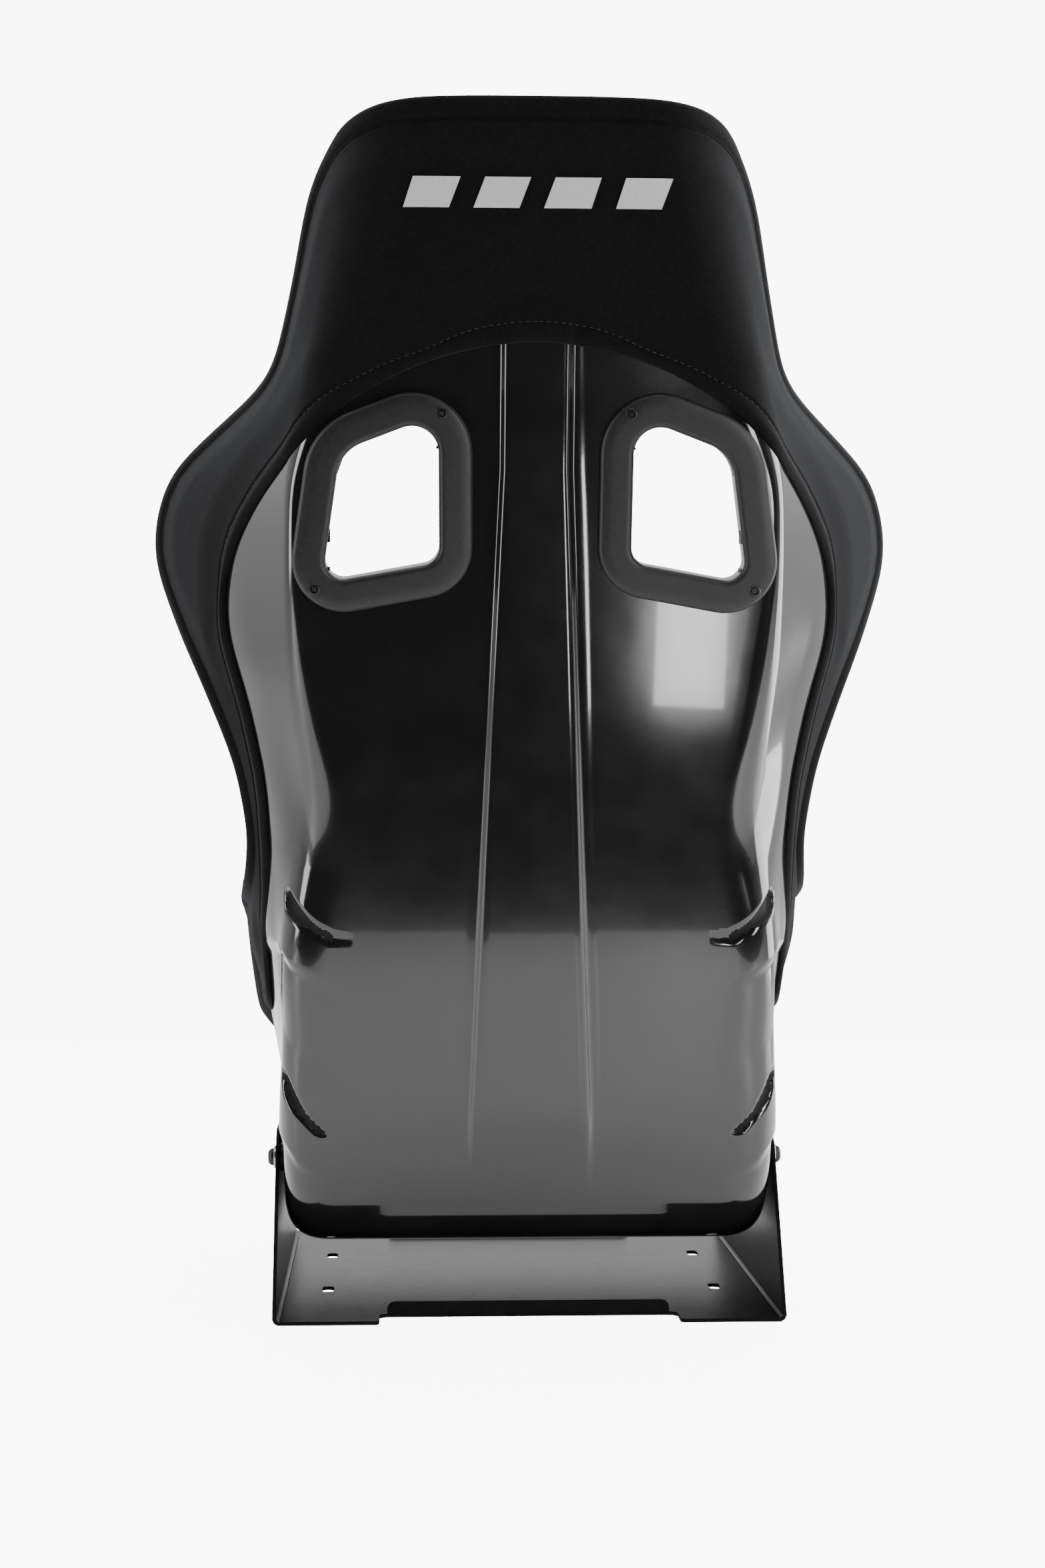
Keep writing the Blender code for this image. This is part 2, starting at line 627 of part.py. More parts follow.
front_view = Matrix(((1, 0, 0), (0, 0, -1), (0, 1, 0))).to_4x4()
cut(rear_cover, cutter("hem", extruded("hem", hem_outline, -0.7, 0.4, front_view)), "MANIFOLD")

# ---- front cover -----------------------------------------------------------------------
INNER = -SHELL_SHEET - GAP
rows, columns = GRID_DOWN.shape
loop = edge_loop(rows, columns)
edge = np.array([layer(0.0)[r, c] for r, c in loop])
edge_down = np.array([GRID_DOWN[r, c] for r, c in loop])
edge_across = np.array([GRID_ACROSS[r, c] for r, c in loop])
lifted = FORM.at(edge_down, edge_across, 0.01)
edge_normal = (lifted - edge) / np.linalg.norm(lifted - edge, axis=1, keepdims=True)
edge_run = np.roll(edge, -1, axis=0) - np.roll(edge, 1, axis=0)
edge_out = np.cross(edge_run, edge_normal)
edge_out /= np.linalg.norm(edge_out, axis=1, keepdims=True)


def ring(outwards, lift):
    if outwards == -ROLL_LAP:
        drawn = lapped(ROLL_LAP, lift)
        return np.array([drawn[r, c] for r, c in loop])
    return edge + edge_out * outwards + edge_normal * lift


BEAD = ((ROLL_OUT * 0.9, INNER), (ROLL_OUT, INNER - LINER_THICK * 0.5), (ROLL_OUT * 0.9, INNER - LINER_THICK))
front_cover = new_object("front_cover", blanket("front_cover", layer(INNER - LINER_THICK), layer(INNER), [ring(*place) for place in BEAD]), VELOUR)

# ---- cushions and bolsters -------------------------------------------------------------
PAD_LOW = INNER - LINER_THICK - GAP


def nearest_row(distance):
    return int(np.argmin(np.abs(GRID_DOWN[:, COLUMNS] - distance)))


def pad(name, row_from, row_to, column_from, column_to, middle, rim, colour=PAD_VELOUR):
    """A crowned pad on the front cover, over a block of grid cells."""
    block = (slice(row_from, row_to + 1), slice(column_from, column_to + 1))
    shape = GRID_DOWN[block].shape
    u = np.linspace(-1, 1, shape[0])[:, None] * np.ones(shape)
    v = np.linspace(-1, 1, shape[1])[None, :] * np.ones(shape)
    crown = rim + (middle - rim) * (1 - u**4) * (1 - v**4)
    low = layer(PAD_LOW, *block)
    high = layer(PAD_LOW, *block, extra=-crown)
    return new_object(name, blanket(name, low, high, (), COLUMNS - column_from), colour)


pad("head_cushion", nearest_row(FORM.down_at(0.94)), nearest_row(FORM.down_at(0.81)), COLUMNS - 4, COLUMNS + 4, 0.026, 0.012)
pad("back_cushion", nearest_row(FORM.down_at(0.51)), nearest_row(FORM.down_at(0.18)), COLUMNS - 4, COLUMNS + 4, 0.030, 0.014)
pad("seat_cushion", nearest_row(FORM.along_at(0.14)), nearest_row(FORM.along_at(0.88)), COLUMNS - 4, COLUMNS + 4, 0.044, 0.024)
for side_name, side in SIDES:
    near = COLUMNS + side * 7
    far = COLUMNS + side * 10
    low_column, high_column = min(near, far), max(near, far)
    pad("shoulder_bolster_" + side_name, nearest_row(FORM.down_at(0.68)), nearest_row(FORM.down_at(0.41)), low_column, high_column, 0.026, 0.010)
    pad("thigh_bolster_" + side_name, nearest_row(FORM.along_at(0.14)), nearest_row(FORM.along_at(0.80)), low_column, high_column, 0.026, 0.010)

# ---- base bracket ----------------------------------------------------------------------
BASE_HALF = HIP_HALF + SPACER_THICK + 2 * GAP + BASE_SHEET
FLANGE_IN = BASE_HALF - BASE_SHEET


def channel_outline():
    """The folded sheet seen from the rear, from the left flange top round to the right and back."""
    outer = [(-BASE_HALF, FLANGE_TOP)]
    inner = [(-FLANGE_IN, FLANGE_TOP)]
    for step in range(5):
        angle = math.pi + step * math.pi / 8
        outer.append((-BASE_HALF + BASE_BEND + BASE_BEND * math.cos(angle), BASE_BEND + BASE_BEND * math.sin(angle)))
        small = BASE_BEND - BASE_SHEET
        inner.append((-BASE_HALF + BASE_BEND + small * math.cos(angle), BASE_BEND + small * math.sin(angle)))
    outer += [(-u, v) for u, v in reversed(outer)]
    inner += [(-u, v) for u, v in reversed(inner)]
    return outer + inner[::-1]


base = new_object("base_bracket", extruded("base_bracket", channel_outline(), -BASE_LENGTH, 0.0, front_view), POWDER)
side_view = Matrix(((0, 0, 1), (1, 0, 0), (0, 1, 0))).to_4x4()
for name, mirrored in (("rear", False), ("front", True)):
    wedge = [(-0.05, BASE_BEND), (0.003, BASE_BEND), (FLANGE_SLOPE - 0.010, FLANGE_TOP - 0.012), (FLANGE_SLOPE + 0.002, FLANGE_TOP - 0.002), (FLANGE_SLOPE + 0.012, FLANGE_TOP + 0.02), (-0.05, FLANGE_TOP + 0.02)]
    notch_half = BASE_HALF - FOOT_WIDTH
    notch = [(notch_half, -0.05, 0.0), (notch_half, FOOT_REACH, 0.008), (-notch_half, FOOT_REACH, 0.008), (-notch_half, -0.05, 0.0)]
    lip_half = notch_half - 0.006
    lip = [(-lip_half, 0.0), (lip_half, 0.0), (lip_half, LIP_HEIGHT - 0.006), (lip_half - 0.006, LIP_HEIGHT), (-lip_half + 0.006, LIP_HEIGHT), (-lip_half, LIP_HEIGHT - 0.006)]
    lip_low = -FOOT_REACH - BASE_SHEET
    lip_high = -FOOT_REACH
    if mirrored:
        wedge = [(BASE_LENGTH - y, z) for y, z in wedge]
        notch = [(x, BASE_LENGTH - y, r) for x, y, r in notch]
        lip_low, lip_high = -BASE_LENGTH + FOOT_REACH, -BASE_LENGTH + FOOT_REACH + BASE_SHEET
    cut(base, cutter("wedge_" + name, extruded("wedge_" + name, wedge, -0.4, 0.4, side_view)))
    cut(base, cutter("notch_" + name, extruded("notch_" + name, rounded(notch, 0.0, 4), -0.01, 0.01)))
    join(base, cutter("lip_" + name, extruded("lip_" + name, lip, lip_low, lip_high, front_view)))
SLOT_X = BASE_HALF - 0.040
SLOT_HALF = 0.0045
SLOT_RUN = 0.012
for name, y in (("rear", 0.145), ("front", BASE_LENGTH - 0.145)):
    for side_name, side in SIDES:
        outline = [(side * SLOT_X + x, y + v, SLOT_HALF * 0.98) for x, v in ((-SLOT_HALF, -SLOT_RUN), (SLOT_HALF, -SLOT_RUN), (SLOT_HALF, SLOT_RUN), (-SLOT_HALF, SLOT_RUN))]
        label = "slot_" + name + "_" + side_name
        cut(base, cutter(label, extruded(label, rounded(outline, 0.0, 4), -0.01, 0.01)))

# ---- side mounting ---------------------------------------------------------------------
WASHER_THICK = 0.0016
BUSH_FLANGE = 0.0020


def turned(name, outline, frame, colour, turns=14):
    """A body of revolution about the frame's third axis; the outline of (radius, height) is a closed ring off the axis or starts and ends on it."""
    solid = outline[0][0] == 0
    rows = outline[1:-1] if solid else outline
    points = []
    for radius, height in rows:
        points += [frame @ Vector((radius * math.cos(2 * math.pi * k / turns), radius * math.sin(2 * math.pi * k / turns), height)) for k in range(turns)]
    faces = []
    count = len(rows)
    for r in range(count - 1 if solid else count):
        a = r * turns
        b = ((r + 1) % count) * turns
        faces += [(a + k, a + (k + 1) % turns, b + (k + 1) % turns, b + k) for k in range(turns)]
    if solid:
        faces.append(tuple(range(turns)))
        faces.append(tuple(range((count - 1) * turns, count * turns)))
    return new_object(name, closed_mesh(name, points, faces), colour)


def tube_outline(inner, outer, low, high):
    return [(inner, low), (outer, low), (outer, high), (inner, high)]


for place, y in (("rear", BOLT_INSET), ("front", BASE_LENGTH - BOLT_INSET)):
    for side_name, side in SIDES:
        label = place + "_" + side_name
        spot = axis_frame(0, y, BOLT_HEIGHT, side)
        half = BOLT_SIZE / 2
        bore = half + GAP
        inner_wall = HIP_HALF - SHELL_SHEET
        barrel = half + 0.003
        flange = half + 0.008
        cut(base, cutter("flange_bore_" + label, drum("flange_bore_" + label, bore, FLANGE_IN - 0.02, BASE_HALF + 0.02, spot)))
        cut(shell, cutter("shell_bore_" + label, drum("shell_bore_" + label, barrel + GAP, inner_wall - 0.01, HIP_HALF + 0.01, spot)))
        pocket = drum("bush_pocket_" + label, flange + GAP, inner_wall - 0.01, inner_wall + BUSH_FLANGE + GAP, spot)
        cut(shell, cutter("bush_pocket_" + label, pocket))
        turned("side_spacer_" + label, tube_outline(bore, half + 0.007, HIP_HALF + GAP, HIP_HALF + GAP + SPACER_THICK), spot, MOULDING)
        bush = [(bore, inner_wall), (flange, inner_wall), (flange, inner_wall + BUSH_FLANGE), (barrel, inner_wall + BUSH_FLANGE), (barrel, HIP_HALF), (bore, HIP_HALF)]
        turned("threaded_bush_" + label, bush, spot, ZINC)
        washer_low = BASE_HALF + GAP
        turned("washer_" + label, tube_outline(bore, half + 0.005, washer_low, washer_low + WASHER_THICK), spot, ZINC)
        head_low = washer_low + WASHER_THICK + GAP
        head = half + 0.003
        outline = [(0, inner_wall), (half, inner_wall), (half, head_low), (head, head_low), (head, head_low + 0.0012), (head * 0.86, head_low + 0.0032), (head * 0.55, head_low + 0.0044), (half * 0.62, head_low + 0.0044), (half * 0.62, head_low + 0.0018), (0, head_low + 0.0018)]
        turned("side_bolt_" + label, outline, spot, BOLT_BLACK)

# ---- openings through the liner ----------------------------------------------------------
for side_name, side in SIDES:
    tool = extruded("liner_opening_" + side_name, rounded(OPENING, FRONT_WIDTH + GAP), -0.05, -0.001, panel_frame(side))
    cut(front_cover, cutter("liner_opening_" + side_name, tool))

# ---- frame: the origin is the middle of the base plate's underside ----------------------
for part in list(SEAT.objects) + list(TOOLS.objects):
    part.location.y -= BASE_LENGTH / 2
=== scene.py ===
"""Looks of the fixed-back racing seat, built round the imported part."""

import math

import bmesh
import bpy
import numpy as np
from mathutils import Matrix, Vector


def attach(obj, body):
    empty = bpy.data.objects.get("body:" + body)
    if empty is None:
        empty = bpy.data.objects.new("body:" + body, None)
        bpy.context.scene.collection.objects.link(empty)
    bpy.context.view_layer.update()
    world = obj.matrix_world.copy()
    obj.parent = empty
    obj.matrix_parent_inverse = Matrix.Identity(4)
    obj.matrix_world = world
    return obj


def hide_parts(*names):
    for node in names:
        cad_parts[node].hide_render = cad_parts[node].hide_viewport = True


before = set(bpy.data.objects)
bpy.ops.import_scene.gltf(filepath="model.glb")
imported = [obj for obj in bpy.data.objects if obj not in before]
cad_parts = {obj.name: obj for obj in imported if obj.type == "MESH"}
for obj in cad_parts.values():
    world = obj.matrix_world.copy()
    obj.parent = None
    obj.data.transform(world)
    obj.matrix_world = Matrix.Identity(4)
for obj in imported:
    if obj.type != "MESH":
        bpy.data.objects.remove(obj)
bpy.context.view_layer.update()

# ---- sizes shared with the part --------------------------------------------------------
GAP = 0.0003
BACK_TOP, PAN_HEIGHT, BACK_LEAN, PAN_LENGTH = 0.924, 0.050, 0.128, 0.515
PANEL_SHARE, PANEL_LEAN, PANEL_SLOPE = 0.664, 0.622, 1.365
HEAD_HALF, SHOULDER_HALF, WAIST_HALF, THIGH_HALF = 0.166, 0.2975, 0.2165, 0.2300
HIP_HALF, PANEL_HALF, WING_DEPTH = 0.193, 0.188, 0.220
SHELL_SHEET, SPINE_RAISE, SPINE_TOP_HALF, SPINE_BASE_HALF, SPINE_STEP = 0.004, 0.005, 0.0285, 0.050, 0.0065
LINER_THICK = 0.009
SURROUND_WIDTH, SURROUND_RISE, SURROUND_FRONT, OPENING_ROOM = 0.025, 0.0075, 0.016, 0.0025
BASE_LENGTH, BASE_SHEET, BASE_BEND = 0.460, 0.003, 0.006
FLANGE_TOP, FLANGE_SLOPE, FOOT_WIDTH, FOOT_REACH, LIP_HEIGHT = 0.143, 0.080, 0.083, 0.032, 0.0125
SPACER_THICK, BOLT_SIZE, BOLT_INSET, BOLT_HEIGHT = 0.0034, 0.008, 0.085, 0.120
HEAD_ROUND, LIP_ROUND, CORNER_POWER, CORNER_SHARE = 0.080, 0.050, 3.2, 0.90
SECTION_COUNT, ARC_COUNT, ARC_REACH = 561, 401, 0.48
SHIFT = -BASE_LENGTH / 2


def mix(low, high, share):
    return low + (high - low) * share


def rise(share):
    return mix(PAN_HEIGHT, BACK_TOP, share)


def lean(share):
    return -BACK_LEAN * share


def panel_lean(share):
    return lean(PANEL_LEAN + PANEL_SLOPE * (share - PANEL_SHARE))


def along(share):
    return PAN_LENGTH * share


def stations():
    """One row for each section of the shell.

    Centre y and z, rim y and z, base and knee half widths, knee depth share, rim half width, two rounds.
    """
    wing, upper = WING_DEPTH, PANEL_HALF
    head, shoulder, waist, thigh, hip = HEAD_HALF, SHOULDER_HALF, WAIST_HALF, THIGH_HALF, HIP_HALF
    head_rows = [
        (
            lean(tilt), rise(low), lean(tilt) + wing * reach, rise(high), upper * base, head * knee,
            0.50, head * rim, soft, 0.020,
        )
        for tilt, low, reach, high, base, knee, rim, soft in (
            (1.00, 0.986, 0.38, 0.987, 0.58, 0.84, 0.93, 0.040),
            (0.95, 0.915, 0.41, 0.922, 0.64, 0.90, 1.01, 0.040),
            (0.87, 0.835, 0.47, 0.846, 0.75, 1.00, 1.095, 0.035),
        )
    ]
    panel_rows = [
        (
            panel_lean(low), rise(low), panel_lean(low) + wing * reach, rise(high), upper * base, knee,
            depth, rim, soft, fold,
        )
        for low, reach, high, base, knee, depth, rim, soft, fold in (
            (0.765, 0.60, 0.783, 0.86, head * 1.09, 0.50, mix(head, shoulder, 0.26), 0.030, 0.020),
            (0.720, 0.83, 0.748, 0.93, head * 1.24, 0.48, mix(head, shoulder, 0.58), 0.022, 0.025),
            (0.664, 1.00, 0.703, 0.98, head * 1.39, 0.44, mix(head, shoulder, 0.92), 0.010, 0.030),
            (0.608, 1.00, 0.650, 0.98, head * 1.44, 0.42, shoulder, 0.010, 0.030),
            (
                0.538, 0.82, 0.582, 0.96, mix(hip, shoulder, 0.38), 0.42, mix(waist, shoulder, 0.78),
                0.014, 0.030,
            ),
            (
                0.463, 0.58, 0.508, 0.92, mix(hip, shoulder, 0.18), 0.42, mix(waist, shoulder, 0.42),
                0.016, 0.025,
            ),
        )
    ]
    hip_rows = [
        (
            lean(0.250), rise(0.389), lean(0.250) + wing * 0.42, rise(0.432), upper * 0.87,
            mix(hip, shoulder, 0.05), 0.42, mix(waist, shoulder, 0.10), 0.020, 0.020,
        ),
        (
            lean(0.150), rise(0.300), lean(0.150) + wing * 0.38, rise(0.372), hip * 0.93, hip, 0.42,
            waist, 0.034, 0.020,
        ),
        (
            lean(0.060), rise(0.206), along(0.165), rise(0.340), hip, hip, 0.42, mix(waist, thigh, 0.20),
            0.050, 0.020,
        ),
    ]
    pan_rows = [
        (along(base), rise(low), along(reach), rise(high), hip, hip, depth, rim, soft, 0.020)
        for base, low, reach, high, depth, rim, soft in (
            (0.006, 0.115, 0.240, 0.329, 0.42, mix(waist, thigh, 0.45), 0.050),
            (0.045, 0.045, 0.310, 0.325, 0.42, mix(waist, thigh, 0.65), 0.045),
            (0.125, 0.007, 0.375, 0.320, 0.40, mix(waist, thigh, 0.80), 0.038),
            (0.270, 0.000, 0.460, 0.312, 0.38, mix(waist, thigh, 0.92), 0.034),
            (0.450, 0.001, 0.570, 0.294, 0.38, thigh, 0.034),
            (0.630, 0.008, 0.690, 0.264, 0.50, thigh, 0.034),
            (0.790, 0.030, 0.815, 0.222, 0.60, mix(hip, thigh, 0.95), 0.034),
            (0.920, 0.072, 0.925, 0.182, 0.60, mix(hip, thigh, 0.85), 0.034),
        )
    ]
    lip_width = mix(hip, thigh, 0.60)
    lip_row = (
        along(1.000), rise(0.115), along(0.995), rise(0.162), hip * 0.99, hip * 1.03, 0.50, lip_width,
        0.020, 0.008,
    )
    return head_rows + panel_rows + hip_rows + pan_rows + [lip_row]


def monotone(knots, values, at):
    step = np.diff(knots)
    slope = np.diff(values) / step
    tangent = np.zeros(len(knots))
    tangent[0], tangent[-1] = slope[0], slope[-1]
    for k in range(1, len(knots) - 1):
        if slope[k - 1] * slope[k] > 0:
            before = 2 * step[k] + step[k - 1]
            after = step[k] + 2 * step[k - 1]
            tangent[k] = (before + after) / (before / slope[k - 1] + after / slope[k])
    k = np.clip(np.searchsorted(knots, at, side="right") - 1, 0, len(step) - 1)
    t = (at - knots[k]) / step[k]
    rest = 1 - t
    start = values[k] * (1 + 2 * t) * rest**2 + tangent[k] * step[k] * t * rest**2
    return start + values[k + 1] * t**2 * (3 - 2 * t) - tangent[k + 1] * step[k] * t**2 * rest


def smoothed(values, width):
    reach = 3 * width
    offset = np.arange(-reach, reach + 1)
    weight = np.exp(-0.5 * (offset / width) ** 2)
    before = values[0] + (values[1] - values[0]) * np.arange(-reach, 0)
    after = values[-1] + (values[-1] - values[-2]) * np.arange(1, reach + 1)
    return np.convolve(np.concatenate([before, values, after]), weight / weight.sum(), "valid")


def bend(start, middle, end, count=17):
    t = np.linspace(0, 1, count)[:, None]
    return start * (1 - t) ** 2 + 2 * middle * t * (1 - t) + end * t**2


def run_of(points):
    """Distance from the first point of a line to each of its points."""
    return np.concatenate([[0], np.cumsum(np.linalg.norm(np.diff(points, axis=0), axis=1))])


def section_line(corner, knee, knee_depth, rim, depth, corner_round, knee_round):
    first = np.array([corner, 0.0])
    second = np.array([knee, knee_depth])
    last = np.array([rim, depth])
    up = (second - first) / np.linalg.norm(second - first)
    out = (last - second) / np.linalg.norm(last - second)
    side = np.array([1.0, 0.0])
    room = 0.96 * np.linalg.norm(second - first) / (corner_round + knee_round)
    corner_round *= min(1.0, room)
    knee_round *= min(1.0, room)
    low = bend(first - side * corner_round, first, first + up * corner_round)
    high = bend(second - up * knee_round, second, second + out * knee_round)
    tail = last + out * ARC_REACH
    return np.vstack([[0.0, 0.0], low, high, last, tail])


class Form:
    def __init__(self):
        station = np.array(stations())
        knots = run_of(station[:, :2])
        self.length = float(knots[-1])
        self.down = np.linspace(0, self.length, SECTION_COUNT)
        self.across = np.linspace(0, ARC_REACH, ARC_COUNT)
        value = [smoothed(monotone(knots, station[:, k], self.down), 6) for k in range(station.shape[1])]
        cy, cz, ry, rz, corner, knee, share, rim, round_one, round_two = value
        cy, ry = cy + SHIFT, ry + SHIFT
        self.centre = np.stack([cy, cz], axis=-1)
        depth = np.hypot(ry - cy, rz - cz)
        wall = np.stack([(ry - cy) / depth, (rz - cz) / depth], axis=-1)
        self.rim = np.zeros(SECTION_COUNT)
        self.marks = np.zeros((SECTION_COUNT, 4))
        point = np.zeros((SECTION_COUNT, ARC_COUNT, 3))
        for i in range(SECTION_COUNT):
            line = section_line(
                corner[i], knee[i], share[i] * depth[i], rim[i], depth[i], round_one[i], round_two[i]
            )
            run = run_of(line)
            self.rim[i] = run[-2]
            self.marks[i] = run[1], run[17], run[18], run[34]
            point[i, :, 0] = np.interp(self.across, run, line[:, 0])
            point[i, :, 1:] = self.centre[i] + np.interp(self.across, run, line[:, 1])[:, None] * wall[i]
        self.point = point
        down = np.gradient(point, axis=0)
        across = np.gradient(point, axis=1)
        across[:, 0, 1:] = 0
        normal = np.cross(down, across)
        self.normal = normal / np.linalg.norm(normal, axis=2, keepdims=True)

    def read(self, table, down, across):
        i = np.clip(down / self.length, 0, 1) * (SECTION_COUNT - 1)
        j = np.clip(across / ARC_REACH, 0, 1) * (ARC_COUNT - 1)
        i0 = np.minimum(i.astype(int), SECTION_COUNT - 2)
        j0 = np.minimum(j.astype(int), ARC_COUNT - 2)
        u = (i - i0)[..., None]
        v = (j - j0)[..., None]
        low = table[i0, j0] * (1 - v) + table[i0, j0 + 1] * v
        high = table[i0 + 1, j0] * (1 - v) + table[i0 + 1, j0 + 1] * v
        return low * (1 - u) + high * u

    def at(self, down, across, offset=0.0):
        down = np.asarray(down, float)
        across = np.asarray(across, float)
        point = self.read(self.point, down, np.abs(across))
        normal = self.read(self.normal, down, np.abs(across))
        normal /= np.linalg.norm(normal, axis=-1, keepdims=True)
        point = point + normal * np.asarray(offset)[..., None]
        point[..., 0] *= np.where(across < 0, -1, 1)
        return point

    def down_at(self, share):
        lowest = int(np.argmin(self.centre[:, 1]))
        return float(np.interp(-rise(share), -self.centre[:lowest, 1], self.down[:lowest]))

    def along_at(self, share):
        return float(np.interp(along(share) + SHIFT, self.centre[:, 0], self.down))

    def find(self, x, z):
        """(down, across) of the surface point seen at (x, z) from the rear."""
        last = int(np.argmin(self.centre[:, 1]))
        inside = self.across[None, :] <= self.rim[:last, None] + 0.01
        miss = (self.point[:last, :, 0] - abs(x)) ** 2 + (self.point[:last, :, 2] - z) ** 2
        miss = np.where(inside, miss, 1.0)
        i, j = np.unravel_index(int(np.argmin(miss)), miss.shape)
        return float(self.down[i]), math.copysign(float(self.across[j]), x)


def spine_half(height):
    low, high = rise(0.12), rise(0.69)
    return SPINE_BASE_HALF + (SPINE_TOP_HALF - SPINE_BASE_HALF) * np.clip(
        (height - low) / (high - low), 0, 1
    )


def ease(value, low, high):
    t = np.clip((value - low) / (high - low), 0, 1)
    return t * t * (3 - 2 * t)


def corner_shape(share):
    return (1 - share**CORNER_POWER) ** (1 / CORNER_POWER)


def corner_width(drop, depth):
    return (1 - np.clip(1 - drop / depth, 0, 1) ** CORNER_POWER) ** (1 / CORNER_POWER)


FORM = Form()


def spread(knots, counts):
    """Knots with each interval divided evenly."""
    out = [knots[0]]
    for low, high, count in zip(knots[:-1], knots[1:], counts):
        out.extend(low + (high - low) * (np.arange(count) + 1) / count)
    return np.array(out)


def build_grid(centre, counts):
    """Rows at the distances given, columns spread between the features of each section."""
    top_drop = HEAD_ROUND * (1 - corner_shape(CORNER_SHARE))
    lip_drop = LIP_ROUND * (1 - corner_shape(CORNER_SHARE))
    half = int(sum(counts))
    down = np.zeros((len(centre), 2 * half + 1))
    across = np.zeros_like(down)
    for row, start in enumerate(centre):
        fall = top_drop * (1 - ease(start, 0.0, 0.16)) - lip_drop * ease(
            start, FORM.length - 0.12, FORM.length
        )
        side = start + fall
        rim = float(np.interp(side, FORM.down, FORM.rim))
        width = corner_width(side, HEAD_ROUND) if side < HEAD_ROUND else 1.0
        rest = FORM.length - side
        width = corner_width(rest, LIP_ROUND) if rest < LIP_ROUND else width
        marks = [float(np.interp(start, FORM.down, FORM.marks[:, k])) for k in range(4)]
        height = float(np.interp(start, FORM.down, FORM.centre[:, 1]))
        ridge = float(spine_half(height))
        knots = [0.0, ridge - SPINE_STEP, ridge, marks[0], marks[1], marks[2], marks[3], rim]
        knots = spread(np.maximum.accumulate(np.array(knots)), counts) * width
        share = CORNER_SHARE * knots / (rim * width)
        shape = (1 - corner_shape(share)) / (1 - corner_shape(CORNER_SHARE))
        down[row, half:] = start + fall * shape
        down[row, : half + 1] = (start + fall * shape)[::-1]
        across[row, half:] = knots
        across[row, : half + 1] = -knots[::-1]
    return down, across


# ---- relief of the shell ---------------------------------------------------------------
BANDS = (
    # lower edge as (x, z) from the inner end outwards, then the height at which the band starts
    (((0.150, 0.2600), (0.1655, 0.2680), (0.1855, 0.2810), (0.1930, 0.2930)), 0.352),
    (((0.150, 0.1110), (0.1655, 0.1160), (0.1800, 0.1240), (0.1930, 0.1450)), 0.206),
)
GILLS = (((0.1850, 0.3260), (0.1540, 0.2990)), ((0.1880, 0.1830), (0.1630, 0.1480)))
BAND_RAISE = 0.0032
GILL_DEPTH = 0.0050


def bands(point):
    x = np.abs(point[..., 0])
    y = point[..., 1] - SHIFT
    z = point[..., 2]
    total = np.zeros(x.shape)
    for edge, top in BANDS:
        ex = [p[0] for p in edge]
        ez = [p[1] for p in edge]
        low = np.interp(x, ex, ez) - np.clip(y - 0.05, 0, 1) * 0.10
        rise_up = ease(z, low - 0.0070, low + 0.0030)
        fall = 1 - ease(z, top - 0.060, top + 0.030)
        inward = ease(x, 0.148, 0.186)
        forward = 1 - ease(y, 0.045, 0.110)
        total += BAND_RAISE * rise_up * fall * inward * forward
    return total


def gill_distance(down, across):
    """Distance outside the nearest gill, negative inside it."""
    best = np.full(down.shape, 1.0)
    for outer, inner in GILLS:
        a = np.array(FORM.find(*outer))
        b = np.array(FORM.find(*inner))
        run = b - a
        t = np.clip(((down - a[0]) * run[0] + (np.abs(across) - a[1]) * run[1]) / (run @ run), 0, 1)
        bow = 0.0035 * np.sin(np.pi * t)
        gap = np.hypot(down - a[0] - run[0] * t + bow, np.abs(across) - a[1] - run[1] * t - bow)
        best = np.minimum(best, gap - (0.0110 - 0.0068 * t))
    return best


def relief(down, across, fine=True):
    height = np.interp(down, FORM.down, FORM.centre[:, 1])
    inside = 1 - ease(np.abs(across), spine_half(height) - SPINE_STEP, spine_half(height))
    on_back = down < FORM.down_at(0.035)
    fade = ease(height, rise(0.04), rise(0.14)) * (1 - ease(height, rise(0.805), rise(0.835))) * on_back
    total = SPINE_RAISE * inside * fade
    if fine:
        total = total + bands(FORM.at(down, across))
        total = total - GILL_DEPTH * (1 - ease(gill_distance(down, across), -0.0060, 0.0010))
    return total


# ---- meshes ----------------------------------------------------------------------------
COLLECTION = bpy.data.collections.new("visual")
bpy.context.scene.collection.children.link(COLLECTION)


def put(name, mesh, node, look, smooth=True, angle=None):
    made = bpy.data.objects.new(name, mesh)
    COLLECTION.objects.link(made)
    mesh.materials.clear()
    for item in look if isinstance(look, (list, tuple)) else [look]:
        mesh.materials.append(item)
    if smooth:
        mesh.shade_smooth()
        if angle is not None:
            mesh.set_sharp_from_angle(angle=math.radians(angle))
    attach(made, "root")
    if node:
        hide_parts(*([node] if isinstance(node, str) else node))
    return made


def mesh_of(name, points, faces, outward=True):
    mesh = bpy.data.meshes.new(name)
    mesh.from_pydata(np.asarray(points, float).tolist(), [], faces)
    if outward:
        shape = bmesh.new()
        shape.from_mesh(mesh)
        bmesh.ops.recalc_face_normals(shape, faces=shape.faces)
        if shape.calc_volume(signed=True) < 0:
            bmesh.ops.reverse_faces(shape, faces=shape.faces)
        shape.to_mesh(mesh)
        shape.free()
    return mesh


def grid_faces(rows, columns, start=0, flip=False):
    out = []
    for r in range(rows - 1):
        for c in range(columns - 1):
            a = start + r * columns + c
            face = (a, a + 1, a + columns + 1, a + columns)
            out.append(face[::-1] if flip else face)
    return out


def ring_faces(rows, count, start=0, closed=False):
    """Quads joining each ring of count points to the next, and the last to the first if closed."""
    faces = []
    for row in range(rows if closed else rows - 1):
        a, b = start + row * count, start + (row + 1) % rows * count
        faces += [(a + k, a + (k + 1) % count, b + (k + 1) % count, b + k) for k in range(count)]
    return faces


